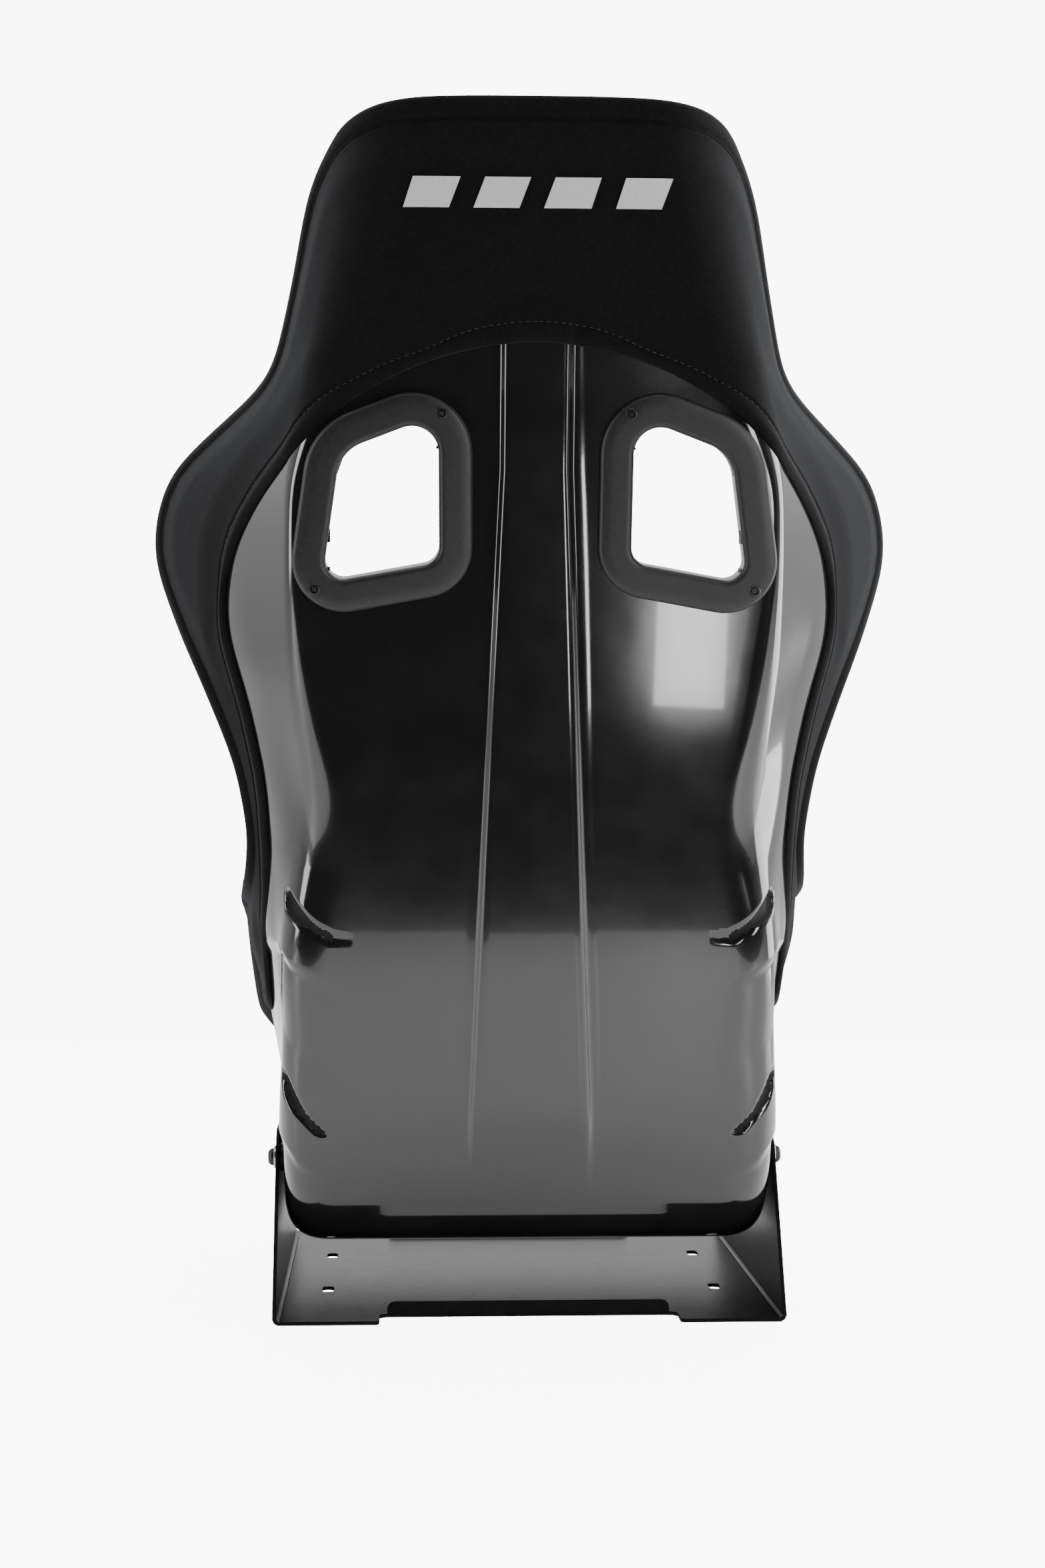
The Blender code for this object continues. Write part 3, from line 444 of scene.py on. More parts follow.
def edge_loop(rows, columns):
    top = [(0, c) for c in range(columns)]
    right = [(r, columns - 1) for r in range(1, rows)]
    low = [(rows - 1, c) for c in range(columns - 2, -1, -1)]
    left = [(r, 0) for r in range(rows - 2, 0, -1)]
    return top + right + low + left


def blanket(name, inner, outer, keep=None):
    """A closed body between two grids of points; keep says which of their cells have faces."""
    rows, columns = inner.shape[:2]
    count = rows * columns
    points = list(outer.reshape(-1, 3)) + list(inner.reshape(-1, 3))
    faces = grid_faces(rows, columns) + grid_faces(rows, columns, count, True)
    if keep is not None:
        flags = keep.reshape(-1)
        faces = [f for f, ok in zip(faces, np.concatenate([flags, flags])) if ok]
    over = [r * columns + c for r, c in edge_loop(rows, columns)]
    for a, b in zip(over, over[1:] + over[:1]):
        faces.append((a, count + a, count + b, b))
    return mesh_of(name, np.array(points), faces)


# ---- openings --------------------------------------------------------------------------
LEAN_ANGLE = math.atan2(panel_lean(0.0) - panel_lean(1.0), rise(1.0) - rise(0.0))
OPENING_Z = rise(PANEL_SHARE)
OPENING_Y = panel_lean(PANEL_SHARE) + SHIFT
UP = Vector((0, -math.sin(LEAN_ANGLE), math.cos(LEAN_ANGLE)))
OUT = Vector((0, -math.cos(LEAN_ANGLE), -math.sin(LEAN_ANGLE)))


def panel_frame(side):
    turn = Matrix(((side, 0, 0), (0, UP.y, OUT.y), (0, UP.z, OUT.z))).to_4x4()
    return Matrix.Translation((0, OPENING_Y, OPENING_Z)) @ turn


def rounded(corners, outset, segments=5):
    points = []
    count = len(corners)
    for k in range(count):
        here = Vector(corners[k][:2])
        before = (here - Vector(corners[k - 1][:2])).normalized()
        after = (Vector(corners[(k + 1) % count][:2]) - here).normalized()
        radius = corners[k][2]
        if radius <= 0:
            points.append(tuple(here))
            continue
        turn = math.atan2(before.x * after.y - before.y * after.x, before.dot(after))
        reach = radius * math.tan(abs(turn) / 2)
        normal = Vector((-before.y, before.x)) * (1 if turn > 0 else -1)
        middle = here - before * reach + normal * radius
        start = math.atan2(-normal.y, -normal.x)
        for step in range(segments + 1):
            angle = start + turn * step / segments
            size = radius + outset
            points.append((middle.x + size * math.cos(angle), middle.y + size * math.sin(angle)))
    return points


OPENING = (
    (0.072, rise(0.611) - OPENING_Z, 0.014),
    (PANEL_HALF - 0.028, rise(0.5925) - OPENING_Z, 0.014),
    (PANEL_HALF - 0.042, rise(0.705) - OPENING_Z, 0.030),
    (0.073, rise(0.737) - OPENING_Z, 0.020),
)
SURROUND_SCREWS = ((0.0705, rise(0.738) - OPENING_Z), (PANEL_HALF - 0.0225, rise(0.5875) - OPENING_Z))


def outline_distance(point, outset):
    """Signed distance of points from the opening's outline in the panel's plane, and the step onto it."""
    u = np.abs(point[..., 0]).reshape(-1)
    rel = point.reshape(-1, 3) - np.array([0, OPENING_Y, OPENING_Z])
    v = rel @ np.array(UP)
    w = rel @ np.array(OUT)
    line = np.array(rounded(OPENING, outset, 10))
    a = line
    b = np.roll(line, -1, axis=0)
    place = np.stack([u, v], axis=-1)
    near = np.abs(w) < 0.05
    gap = np.full(len(u), 1.0)
    foot = place.copy()
    p = place[near]
    best = np.full(len(p), 1e9)
    hit = p.copy()
    inside = np.zeros(len(p), bool)
    for s, e in zip(a, b):
        run = e - s
        t = np.clip(((p - s) @ run) / (run @ run), 0, 1)
        q = s + t[:, None] * run
        d = np.linalg.norm(p - q, axis=1)
        closer = d < best
        best = np.where(closer, d, best)
        hit = np.where(closer[:, None], q, hit)
        crosses = (s[1] > p[:, 1]) != (e[1] > p[:, 1])
        with np.errstate(divide="ignore", invalid="ignore"):
            at = (e[0] - s[0]) * (p[:, 1] - s[1]) / (e[1] - s[1]) + s[0]
        inside ^= crosses & (p[:, 0] < at)
    gap[near] = np.where(inside, -best, best)
    foot[near] = hit
    return gap.reshape(point.shape[:-1]), (foot - place).reshape(*point.shape[:-1], 2)


def open_grid(point, outset, reach):
    """Moves grid points near the opening's outline onto it and says which cells lie outside it."""
    gap, step = outline_distance(point, outset)
    near = np.abs(gap) < reach
    sign = np.where(point[..., 0] < 0, -1.0, 1.0)
    moved = point.copy()
    moved[..., 0] += np.where(near, step[..., 0] * sign, 0)
    lift = np.where(near, step[..., 1], 0)
    moved += lift[..., None] * np.array(UP)
    gap = np.where(near, 0.0, gap)
    centre = (gap[:-1, :-1] + gap[1:, :-1] + gap[:-1, 1:] + gap[1:, 1:]) / 4
    return moved, centre > -1e-6


# ---- materials -------------------------------------------------------------------------
def look(
    name, colour, rough, metal=0.0, coat=0.0, sheen=0.0, bumps=(), mottle=0.15, rough_mottle=0.1,
    scale=60.0, specular=0.5,
):
    """A material broken up by noise, with layers of bump given as (kind, scale, strength, distance)."""
    made = bpy.data.materials.new(name)
    made.use_nodes = True
    tree = made.node_tree
    nodes, links = tree.nodes, tree.links
    shader = nodes["Principled BSDF"]
    settings = {
        "Metallic": metal,
        "Coat Weight": coat,
        "Coat Roughness": 0.03,
        "Specular IOR Level": specular,
        "Sheen Weight": sheen,
        "Sheen Roughness": 0.35,
        "Sheen Tint": (0.75, 0.78, 0.85, 1),
    }
    for label, value in settings.items():
        shader.inputs[label].default_value = value
    where = nodes.new("ShaderNodeTexCoord")
    noise = nodes.new("ShaderNodeTexNoise")
    noise.inputs["Scale"].default_value = scale
    noise.inputs["Detail"].default_value = 5
    links.new(where.outputs["Object"], noise.inputs["Vector"])
    ramp = nodes.new("ShaderNodeValToRGB")
    low = tuple(c * (1 - mottle) for c in colour)
    high = tuple(min(1, c * (1 + mottle)) for c in colour)
    ramp.color_ramp.elements[0].position, ramp.color_ramp.elements[1].position = 0.35, 0.68
    ramp.color_ramp.elements[0].color = (*low, 1)
    ramp.color_ramp.elements[1].color = (*high, 1)
    links.new(noise.outputs["Fac"], ramp.inputs["Fac"])
    links.new(ramp.outputs["Color"], shader.inputs["Base Color"])
    span = nodes.new("ShaderNodeMapRange")
    span.inputs["To Min"].default_value = max(0.02, rough * (1 - rough_mottle))
    span.inputs["To Max"].default_value = min(1, rough * (1 + rough_mottle))
    links.new(noise.outputs["Fac"], span.inputs["Value"])
    links.new(span.outputs["Result"], shader.inputs["Roughness"])
    last = None
    for kind, size, strength, distance in bumps:
        if kind == "noise":
            tex = nodes.new("ShaderNodeTexNoise")
            tex.inputs["Scale"].default_value = size
            tex.inputs["Detail"].default_value = 3
            out = tex.outputs["Fac"]
        else:
            tex = nodes.new("ShaderNodeTexVoronoi")
            tex.inputs["Scale"].default_value = size
            out = tex.outputs["Distance"]
        links.new(where.outputs["Object"], tex.inputs["Vector"])
        bump = nodes.new("ShaderNodeBump")
        bump.inputs["Strength"].default_value = strength
        bump.inputs["Distance"].default_value = distance
        links.new(out, bump.inputs["Height"])
        if last:
            links.new(last.outputs["Normal"], bump.inputs["Normal"])
        last = bump
    if last:
        links.new(last.outputs["Normal"], shader.inputs["Normal"])
    return made


GLOSS = look(
    "gloss_shell", (0.0075, 0.0075, 0.0080), 0.11, coat=0.6,
    bumps=(("noise", 9, 0.08, 0.002), ("noise", 900, 0.03, 0.0002)), mottle=0.12, rough_mottle=0.25,
    scale=30, specular=0.55,
)
GILL = look(
    "gill_matt", (0.006, 0.006, 0.006), 0.75, bumps=(("noise", 1400, 0.25, 0.0003),), scale=200,
    specular=0.25,
)
VELOUR = look(
    "black_velour", (0.0040, 0.0040, 0.0043), 0.95, sheen=0.10,
    bumps=(("noise", 2600, 0.55, 0.0005), ("noise", 240, 0.20, 0.0010)), mottle=0.35, scale=420,
    specular=0.12,
)
PADS = look(
    "pad_velour", (0.0060, 0.0060, 0.0066), 0.95, sheen=0.14,
    bumps=(("noise", 2400, 0.55, 0.0005), ("voronoi", 700, 0.25, 0.0006)), mottle=0.35, scale=380,
    specular=0.12,
)
THREAD = look("thread", (0.020, 0.020, 0.021), 0.7, bumps=(("noise", 3000, 0.4, 0.0003),), scale=900)
MOULDING = look(
    "matt_moulding", (0.0105, 0.0105, 0.0108), 0.46,
    bumps=(("voronoi", 1500, 0.22, 0.0002), ("noise", 500, 0.1, 0.0003)), mottle=0.12, scale=250,
    specular=0.45,
)
POWDER = look(
    "powder_coat", (0.0060, 0.0060, 0.0064), 0.34, specular=0.03, bumps=(("noise", 700, 0.10, 0.0004),),
    mottle=0.15, scale=120,
)
BLACK_STEEL = look(
    "black_oxide", (0.040, 0.040, 0.043), 0.36, metal=0.85, bumps=(("noise", 1500, 0.12, 0.0002),),
    scale=500,
)
ZINC = look(
    "zinc", (0.56, 0.57, 0.60), 0.30, metal=1.0, bumps=(("noise", 1200, 0.12, 0.0002),), mottle=0.10,
    scale=300,
)
PRINT = look(
    "pale_print", (0.55, 0.55, 0.55), 0.55, bumps=(("noise", 1800, 0.3, 0.0002),), mottle=0.05, scale=500
)

# ---- shell -----------------------------------------------------------------------------
COUNTS = [8, 6, 14, 20, 30, 18, 24]
ROWS = 360


def row_places():
    dense_from, dense_to = FORM.down_at(0.36), FORM.down_at(0.08)
    dense = ROWS // 2
    first = np.linspace(0, dense_from, ROWS // 3)[:-1]
    middle = np.linspace(dense_from, dense_to, dense)[:-1]
    last = np.linspace(dense_to, FORM.length, ROWS // 3)
    return np.concatenate([first, middle, last])


GRID_DOWN, GRID_ACROSS = build_grid(row_places(), COUNTS)
shape_lift = relief(GRID_DOWN, GRID_ACROSS)
SURFACE = FORM.at(GRID_DOWN, GRID_ACROSS, shape_lift)
BARE = FORM.at(GRID_DOWN, GRID_ACROSS, relief(GRID_DOWN, GRID_ACROSS, False))
EDGE_LOOP = edge_loop(*GRID_DOWN.shape)
EDGE = np.array([BARE[r, c] for r, c in EDGE_LOOP])
e_down = np.array([GRID_DOWN[r, c] for r, c in EDGE_LOOP])
e_across = np.array([GRID_ACROSS[r, c] for r, c in EDGE_LOOP])
EDGE_NORMAL = FORM.at(e_down, e_across, 0.01) - FORM.at(e_down, e_across, 0.0)
EDGE_NORMAL /= np.linalg.norm(EDGE_NORMAL, axis=1, keepdims=True)
edge_run = np.roll(EDGE, -1, axis=0) - np.roll(EDGE, 1, axis=0)
EDGE_OUT = np.cross(edge_run, EDGE_NORMAL)
EDGE_OUT /= np.linalg.norm(EDGE_OUT, axis=1, keepdims=True)


def smooth_ring(values, passes=6):
    for _ in range(passes):
        values = (np.roll(values, 1, axis=0) + values * 2 + np.roll(values, -1, axis=0)) / 4
    return values


EDGE_OUT = smooth_ring(EDGE_OUT)
EDGE_OUT /= np.linalg.norm(EDGE_OUT, axis=1, keepdims=True)


def loop_out(outwards, lift):
    return EDGE + EDGE_OUT * outwards + EDGE_NORMAL * lift


outer, keep = open_grid(SURFACE, OPENING_ROOM + GAP, 0.0030)
inner = outer - (SURFACE - FORM.at(GRID_DOWN, GRID_ACROSS, shape_lift - SHELL_SHEET))
shell_mesh = blanket("seat_shell", inner, outer, keep)
put("seat_shell_look", shell_mesh, "seat_shell", [GLOSS, GILL], angle=60)
cell_down, cell_across = [(grid[:-1, :-1] + grid[1:, 1:]) / 2 for grid in (GRID_DOWN, GRID_ACROSS)]
gill_at = gill_distance(cell_down, cell_across)
flags = (gill_at < -0.0015)[keep]
marks = np.zeros(len(shell_mesh.polygons), np.int32)
marks[: len(flags)] = flags
shell_mesh.polygons.foreach_set("material_index", marks)

# ---- rear cover ------------------------------------------------------------------------
# the cover's hem as (x, z) seen from the rear, from the middle down the right side
HEM = (
    (0.000, 0.7463), (0.050, 0.7405), (0.100, 0.7240), (0.149, 0.6965), (0.187, 0.6605),
    (0.217, 0.6260), (0.234, 0.5890), (0.2385, 0.5690), (0.236, 0.5340), (0.222, 0.4900),
    (0.214, 0.4575), (0.206, 0.4200), (0.2025, 0.3600), (0.203, 0.3150), (0.208, 0.2700),
)
HEM_DROP = np.array([0.0] + [math.hypot(b[0] - a[0], b[1] - a[1]) for a, b in zip(HEM[:-1], HEM[1:])])
HEM_RUN = np.cumsum(HEM_DROP)
hem_count = 230
hem_at = np.linspace(0, HEM_RUN[-1], hem_count)
hem_x = smoothed(np.interp(hem_at, HEM_RUN, [p[0] for p in HEM]), 5)
hem_z = smoothed(np.interp(hem_at, HEM_RUN, [p[1] for p in HEM]), 5)
hem_x[0] = 0.0
hem_pairs = np.array([FORM.find(x, z) for x, z in zip(hem_x, hem_z)])
hem_pairs[:, 0] = smoothed(hem_pairs[:, 0], 3)
hem_pairs[:, 1] = smoothed(hem_pairs[:, 1], 3)
pan_down = np.linspace(hem_pairs[-1, 0], FORM.length - 0.004, hem_count // 2)[1:]
PAN_HEM_Z = 0.240
side_wall = slice(60, 330)
pan_sections = [int(min(d / FORM.length, 1) * (SECTION_COUNT - 1)) for d in pan_down]
pan_height = np.array(
    [np.interp(PAN_HEM_Z, FORM.point[k, side_wall, 2], FORM.across[side_wall]) for k in pan_sections]
)
pan_height = np.where(pan_height < hem_pairs[-1, 1] * 0.85, hem_pairs[-1, 1], pan_height)
pan_pairs = np.stack([pan_down, smoothed(pan_height, 3)], axis=-1)
hem_line = np.vstack([hem_pairs, pan_pairs])
turn_at = len(hem_pairs)
for _ in range(60):
    corner = slice(turn_at - 22, turn_at + 22)
    beside = hem_line[turn_at - 23 : turn_at + 21] + hem_line[turn_at - 21 : turn_at + 23]
    hem_line[corner] = beside / 4 + hem_line[corner] / 2
hem_line[:, 1] = np.minimum(hem_line[:, 1], np.interp(hem_line[:, 0], FORM.down, FORM.rim) - 0.016)
hem_line[0, 1] = 0.0
grid_rows, grid_columns = GRID_DOWN.shape
edge_pick = [(0, c) for c in range(grid_columns // 2, grid_columns)]
edge_pick += [(r, grid_columns - 1) for r in range(1, grid_rows)]
edge_line = np.array([(GRID_DOWN[r, c], GRID_ACROSS[r, c]) for r, c in edge_pick])
edge_place = np.array([BARE[r, c] for r, c in edge_pick])
edge_reach = run_of(edge_place)
hem_place = FORM.at(hem_line[:, 0], hem_line[:, 1])


def matched():
    """For each hem point, how far along the seat's edge its partner lies."""
    out = []
    last = 0
    for p in hem_place:
        near = np.linalg.norm(edge_place[last:] - p, axis=1)
        last = last + int(np.argmin(near))
        out.append(edge_reach[last])
    out = np.array(out)
    out[0] = 0.0
    for _ in range(60):
        out[1:-1] = (out[:-2] + out[2:] + out[1:-1] * 2) / 4
    return out


partner = matched()
HEM_STITCH, EDGE_SEAM = 0.0150, 0.0075
edge_pairs = np.stack([np.interp(partner, edge_reach, edge_line[:, k]) for k in (0, 1)], axis=-1)
CROSS = 120
t = np.concatenate([np.linspace(0, 0.08, 14)[:-1], np.linspace(0.08, 1, CROSS - 13)])
line = hem_line[:, None, :] * (1 - t)[None, :, None] + edge_pairs[:, None, :] * t[None, :, None]
flat = FORM.at(line[..., 0], line[..., 1])
steps = np.linalg.norm(np.diff(flat, axis=1), axis=2)
away = np.concatenate([np.zeros((len(hem_line), 1)), np.cumsum(steps, axis=1)], axis=1)
back_off = away[:, -1:] - away
hem_pad = 0.0030 * (1 - np.exp(-away / 0.0022)) + 0.0009 * np.exp(-((away - 0.007) / 0.004) ** 2)
groove = -0.0016 * np.exp(-((away - HEM_STITCH) / 0.0011) ** 2)
loft = 0.0035 * ease(away, 0.018, 0.060) * ease(back_off, 0.006, 0.045)
seam = -0.0016 * np.exp(-((back_off - EDGE_SEAM) / 0.0014) ** 2)
lift = 0.0006 + hem_pad + groove + loft + seam
under = relief(line[..., 0], line[..., 1], False)
cover_top = FORM.at(line[..., 0], line[..., 1], lift + under)
cover_top, cover_keep = open_grid(cover_top, 0.010, 0.0035)
cover_base = FORM.at(line[..., 0], line[..., 1], GAP + under)


def mirrored_strip(name, top, low, keep_cells):
    """A thin closed sheet made on the right and mirrored to the left."""
    points = []
    faces = []
    for sign in (1, -1):
        start = len(points)
        flip = np.array([sign, 1, 1])
        rows, columns = top.shape[:2]
        points.extend((top * flip).reshape(-1, 3))
        points.extend((low * flip).reshape(-1, 3))
        count = rows * columns
        mask = keep_cells.reshape(-1)
        for f, ok in zip(grid_faces(rows, columns, start, sign < 0), mask):
            if ok:
                faces.append(f)
        for r in range(rows - 1):
            a, b = start + r * columns, start + (r + 1) * columns
            c, d = a + columns - 1, b + columns - 1
            for low_end, high_end in ((a, b), (d, c)) if sign > 0 else ((b, a), (c, d)):
                faces.append((low_end, high_end, high_end + count, low_end + count))
    mesh = mesh_of(name, np.array(points), faces, False)
    shape = bmesh.new()
    shape.from_mesh(mesh)
    bmesh.ops.remove_doubles(shape, verts=shape.verts, dist=0.00005)
    bmesh.ops.recalc_face_normals(shape, faces=shape.faces)
    shape.to_mesh(mesh)
    shape.free()
    put(name, mesh, "rear_cover", VELOUR, angle=70)


mirrored_strip("rear_cover_look", cover_top, cover_base, cover_keep)


def add_line(curve, path, closed):
    """Adds a line through the path's points to the curve."""
    line = curve.splines.new("POLY")
    line.points.add(len(path) - 1)
    for point, place in zip(line.points, path):
        point.co = (*place, 1)
    line.use_cyclic_u = closed


def curve_mesh(name, curve):
    maker = bpy.data.objects.new(name + "_path", curve)
    bpy.context.scene.collection.objects.link(maker)
    bpy.context.view_layer.update()
    mesh = bpy.data.meshes.new_from_object(maker)
    bpy.data.objects.remove(maker)
    return mesh


def tube(name, path, radius, finish, closed=False):
    """A round cord along a path of points."""
    curve = bpy.data.curves.new(name, "CURVE")
    curve.dimensions = "3D"
    curve.bevel_depth = radius
    curve.bevel_resolution = 2
    curve.use_fill_caps = not closed
    add_line(curve, path, closed)
    put(name, curve_mesh(name, curve), None, finish)


def stitches(name, path, normals):
    """Short raised threads laid one after another along a path."""
    path = np.asarray(path)
    run = run_of(path)
    points = []
    faces = []
    radius = THREAD_RADIUS
    for k in range(int(run[-1] / STITCH_PITCH)):
        here = k * STITCH_PITCH
        a = np.array([np.interp(here, run, path[:, i]) for i in range(3)])
        b = np.array([np.interp(here + STITCH_LENGTH, run, path[:, i]) for i in range(3)])
        n = np.array([np.interp(here, run, normals[:, i]) for i in range(3)])
        n /= np.linalg.norm(n) + 1e-9
        ahead = b - a
        side = np.cross(ahead, n)
        side /= np.linalg.norm(side) + 1e-9
        start = len(points)
        for share, size in ((0.0, 0.25), (0.2, 0.85), (0.5, 1.0), (0.8, 0.85), (1.0, 0.25)):
            middle = a + ahead * share + n * radius * (0.9 * math.sin(math.pi * share) - 0.2)
            for q in range(6):
                angle = 2 * math.pi * q / 6
                points.append(middle + (side * math.cos(angle) + n * math.sin(angle)) * radius * size)
        faces += ring_faces(5, 6, start)
        faces.append(tuple(range(start + 5, start - 1, -1)))
        faces.append(tuple(range(start + 24, start + 30)))
    put(name, mesh_of(name, np.array(points), faces, False), None, THREAD)


STITCH_LENGTH, STITCH_PITCH, THREAD_RADIUS, SEAM_RADIUS = 0.0042, 0.0056, 0.00042, 0.0010


def cover_line(place, distance):
    """The line on the rear cover where the distance table reads the place given."""
    rows = range(len(hem_line))
    return np.array([[np.interp(place, distance[i], cover_top[i, :, k]) for k in range(3)] for i in rows])


# the hem's stitching and the seam cord near the seat's edge
normal_here = FORM.at(hem_line[:, 0], hem_line[:, 1], 0.01) - hem_place
normal_here /= np.linalg.norm(normal_here, axis=1, keepdims=True)
for sign, label in ((1, "right"), (-1, "left")):
    flip = np.array([sign, 1, 1])
    stitches("hem_stitches_" + label, cover_line(HEM_STITCH, away) * flip, normal_here * flip)
    tube("edge_cord_" + label, cover_line(-EDGE_SEAM, -back_off) * flip, SEAM_RADIUS, VELOUR)

# ---- front cover: rolled edge and liner ------------------------------------------------
swell = ease(EDGE[:, 2], 0.25, 0.31) * (1 - ease(EDGE[:, 2], 0.50, 0.58)) * (
    1 - ease(EDGE[:, 1], -0.02, 0.10)
)
swell = smooth_ring(swell, 20)[:, None]
rolls = []
for angle in np.linspace(-2.35, 1.35, 15):
    out_by = 0.0005 + (0.0098 + 0.0075 * swell) * math.cos(angle)
    rolls.append(loop_out(out_by, -0.0115 + (0.0165 + 0.0035 * swell) * math.sin(angle)))
start_ring = [loop_out(-0.0070, -0.0255)]
end_ring = [loop_out(-0.0060, 0.0048), loop_out(-0.0088, 0.0034), loop_out(-0.0092, 0.0010)]
roll_points = np.array(start_ring + rolls + end_ring)
count = roll_points.shape[1]
roll_faces = ring_faces(len(roll_points), count, closed=True)
roll_mesh = mesh_of("edge_roll", roll_points.reshape(-1, 3), roll_faces)
put("edge_roll", roll_mesh, "front_cover", VELOUR)

liner = LINER_THICK - 0.0006
tuft = 0.0014 * np.exp(-(((np.abs(GRID_ACROSS) - 0.142) / 0.0022) ** 2))
LINER_BACK, FRONT_WIDTH = -SHELL_SHEET - 0.0004, SURROUND_WIDTH * 0.58
liner_flat = FORM.at(GRID_DOWN, GRID_ACROSS, LINER_BACK)
liner_high = FORM.at(GRID_DOWN, GRID_ACROSS, LINER_BACK - liner + tuft)
liner_low, liner_keep = open_grid(liner_flat, FRONT_WIDTH + GAP, 0.0030)
liner_high = liner_high + (liner_low - liner_flat)
put("liner", blanket("liner", liner_high, liner_low, liner_keep), "front_cover", VELOUR, angle=70)


# ---- cushions and bolsters -------------------------------------------------------------
def cushion(name, down_from, down_to, across_from, across_to, middle, rim, channels, width):
    """A crowned, softly rectangular pad with sewn channels and an edge cord."""
    n = 150
    v = np.linspace(-1, 1, n)[:, None] * np.ones((n, n))
    u = np.linspace(-1, 1, n)[None, :] * np.ones((n, n))
    # a squircle plan from a square grid
    power = 5.0
    reach = np.maximum((np.abs(u) ** power + np.abs(v) ** power) ** (1 / power), 1e-9)
    far = np.maximum(np.abs(u), np.abs(v))
    ratio = far / reach
    uu, vv = u * ratio, v * ratio
    down = mix(down_from, down_to, (vv + 1) / 2)
    across = mix(across_from, across_to, (uu + 1) / 2)
    rounding = 0.14
    side = 1 - (1 - np.clip((1 - far) / rounding, 0, 1)) ** 2.4
    crown = rim * side ** 0.6 + (middle - rim) * np.cos(
        np.clip(far, 0, 1) * math.pi / 2
    ) ** 0.9 * (1 - 0.25 * u**2)
    for place in channels:
        gap = np.abs((vv - place) * abs(down_to - down_from) / 2)
        crown = crown - 0.0052 * np.exp(-(gap / width) ** 1.4) * side
        crown = crown + np.exp(-((gap - 0.016) / 0.014) ** 2) * 0.0012 * side
    ripple = 0.0005 * np.sin(down * 63 + 2.1 * np.sin(across * 31)) * np.sin(across * 57 + 1.3)
    ripple = ripple + 0.0003 * np.sin(down * 141 + across * 97)
    crown = np.maximum(crown + ripple * side, 0.0004)
    base = -SHELL_SHEET - LINER_THICK - GAP
    low = FORM.at(down, across, base + 0 * down)
    high = FORM.at(down, across, base - crown)
    made = put(name + "_look", blanket(name, high, low), name, PADS, angle=75)
    drawn = 1 - rounding * 0.36
    edge_path = []
    for r, c in edge_loop(n, n)[::2]:
        d = mix(down_from, down_to, (vv[r, c] * drawn + 1) / 2)
        a = mix(across_from, across_to, (uu[r, c] * drawn + 1) / 2)
        edge_path.append(FORM.at(d, a, base - rim * 0.84))
    tube(name + "_cord", edge_path, 0.0021, PADS, True)


for name, d1, d2, half, middle, rim, channels, width in (
    ("head_cushion", FORM.down_at(0.94), FORM.down_at(0.81), 0.098, 0.024, 0.012, (0.0,), 0.0022),
    ("back_cushion", FORM.down_at(0.51), FORM.down_at(0.18), 0.135, 0.030, 0.014, (-0.5, 0.0, 0.5), 0.0024),
    (
        "seat_cushion", FORM.along_at(0.14), FORM.along_at(0.88), 0.150, 0.044, 0.024,
        (-0.42, 0.08, 0.56), 0.0024,
    ),
):
    cushion(name, d1, d2, -half, half, middle, rim, channels, width)
for sign, label in ((-1, "left"), (1, "right")):
    for kind, d1, d2 in (
        ("shoulder", FORM.down_at(0.66), FORM.down_at(0.42)),
        ("thigh", FORM.along_at(0.16), FORM.along_at(0.78)),
    ):
        low_mark = float(np.interp((d1 + d2) / 2, FORM.down, FORM.marks[:, 1])) + 0.022
        high_mark = float(np.interp((d1 + d2) / 2, FORM.down, FORM.rim)) - 0.034
        cushion(
            kind + "_bolster_" + label, d1, d2, sign * low_mark, sign * high_mark, 0.026, 0.010, (0.0,),
            0.0022,
        )

# ---- harness surrounds -----------------------------------------------------------------
REAR_SLEEVE = SHELL_SHEET + 0.005


def arc_points(cu, cv, radius, start, end):
    return [(cu + radius * math.cos(a), cv + radius * math.sin(a)) for a in np.linspace(start, end, 5)]


def swept(name, profile, place, node):
    """A closed profile carried round the opening's outline."""
    points = []
    for outset, height in profile:
        points += [tuple(place @ Vector((u, v, height))) for u, v in rounded(OPENING, outset, 14)]
    faces = ring_faces(len(profile), len(points) // len(profile), closed=True)
    put(name, mesh_of(name, points, faces), node, MOULDING, angle=40)


def round_loop(x, y, radius, steps):
    angles = [2 * math.pi * k / steps for k in range(steps)]
    return [(x + radius * math.cos(angle), y + radius * math.sin(angle)) for angle in angles]


def lathe(name, outline, place, node, finish):
    """A body of revolution; the outline starts and ends on the axis, or is a closed ring off it."""
    solid = outline[0][0] == 0
    rows = outline[1:-1] if solid else outline
    points = []
    turns = 48
    for radius, height in rows:
        points += [tuple(place @ Vector((u, v, height))) for u, v in round_loop(0, 0, radius, turns)]
    n = len(rows)
    faces = ring_faces(n, turns, closed=not solid)
    if solid:
        faces.append(tuple(range(turns)))
        faces.append(tuple(range((n - 1) * turns, n * turns)))
    put(name, mesh_of(name, points, faces), node, finish, angle=35)


def hexagon_wall(name, radius, height, place):
    """The socket's dark hexagonal wall, as a thin ring standing in the round recess."""
    points = []
    for size, level in ((1.0, 0.0), (1.0, -0.0016), (0.90, -0.0016), (0.90, 0.0)):
        for k in range(6):
            u, v = radius * size * math.cos(math.pi / 3 * k), radius * size * math.sin(math.pi / 3 * k)
            points.append(tuple(place @ Vector((u, v, height + level))))
    faces = ring_faces(4, 6, closed=True)
    put(name, mesh_of(name, points, faces), None, BLACK_STEEL, smooth=False)


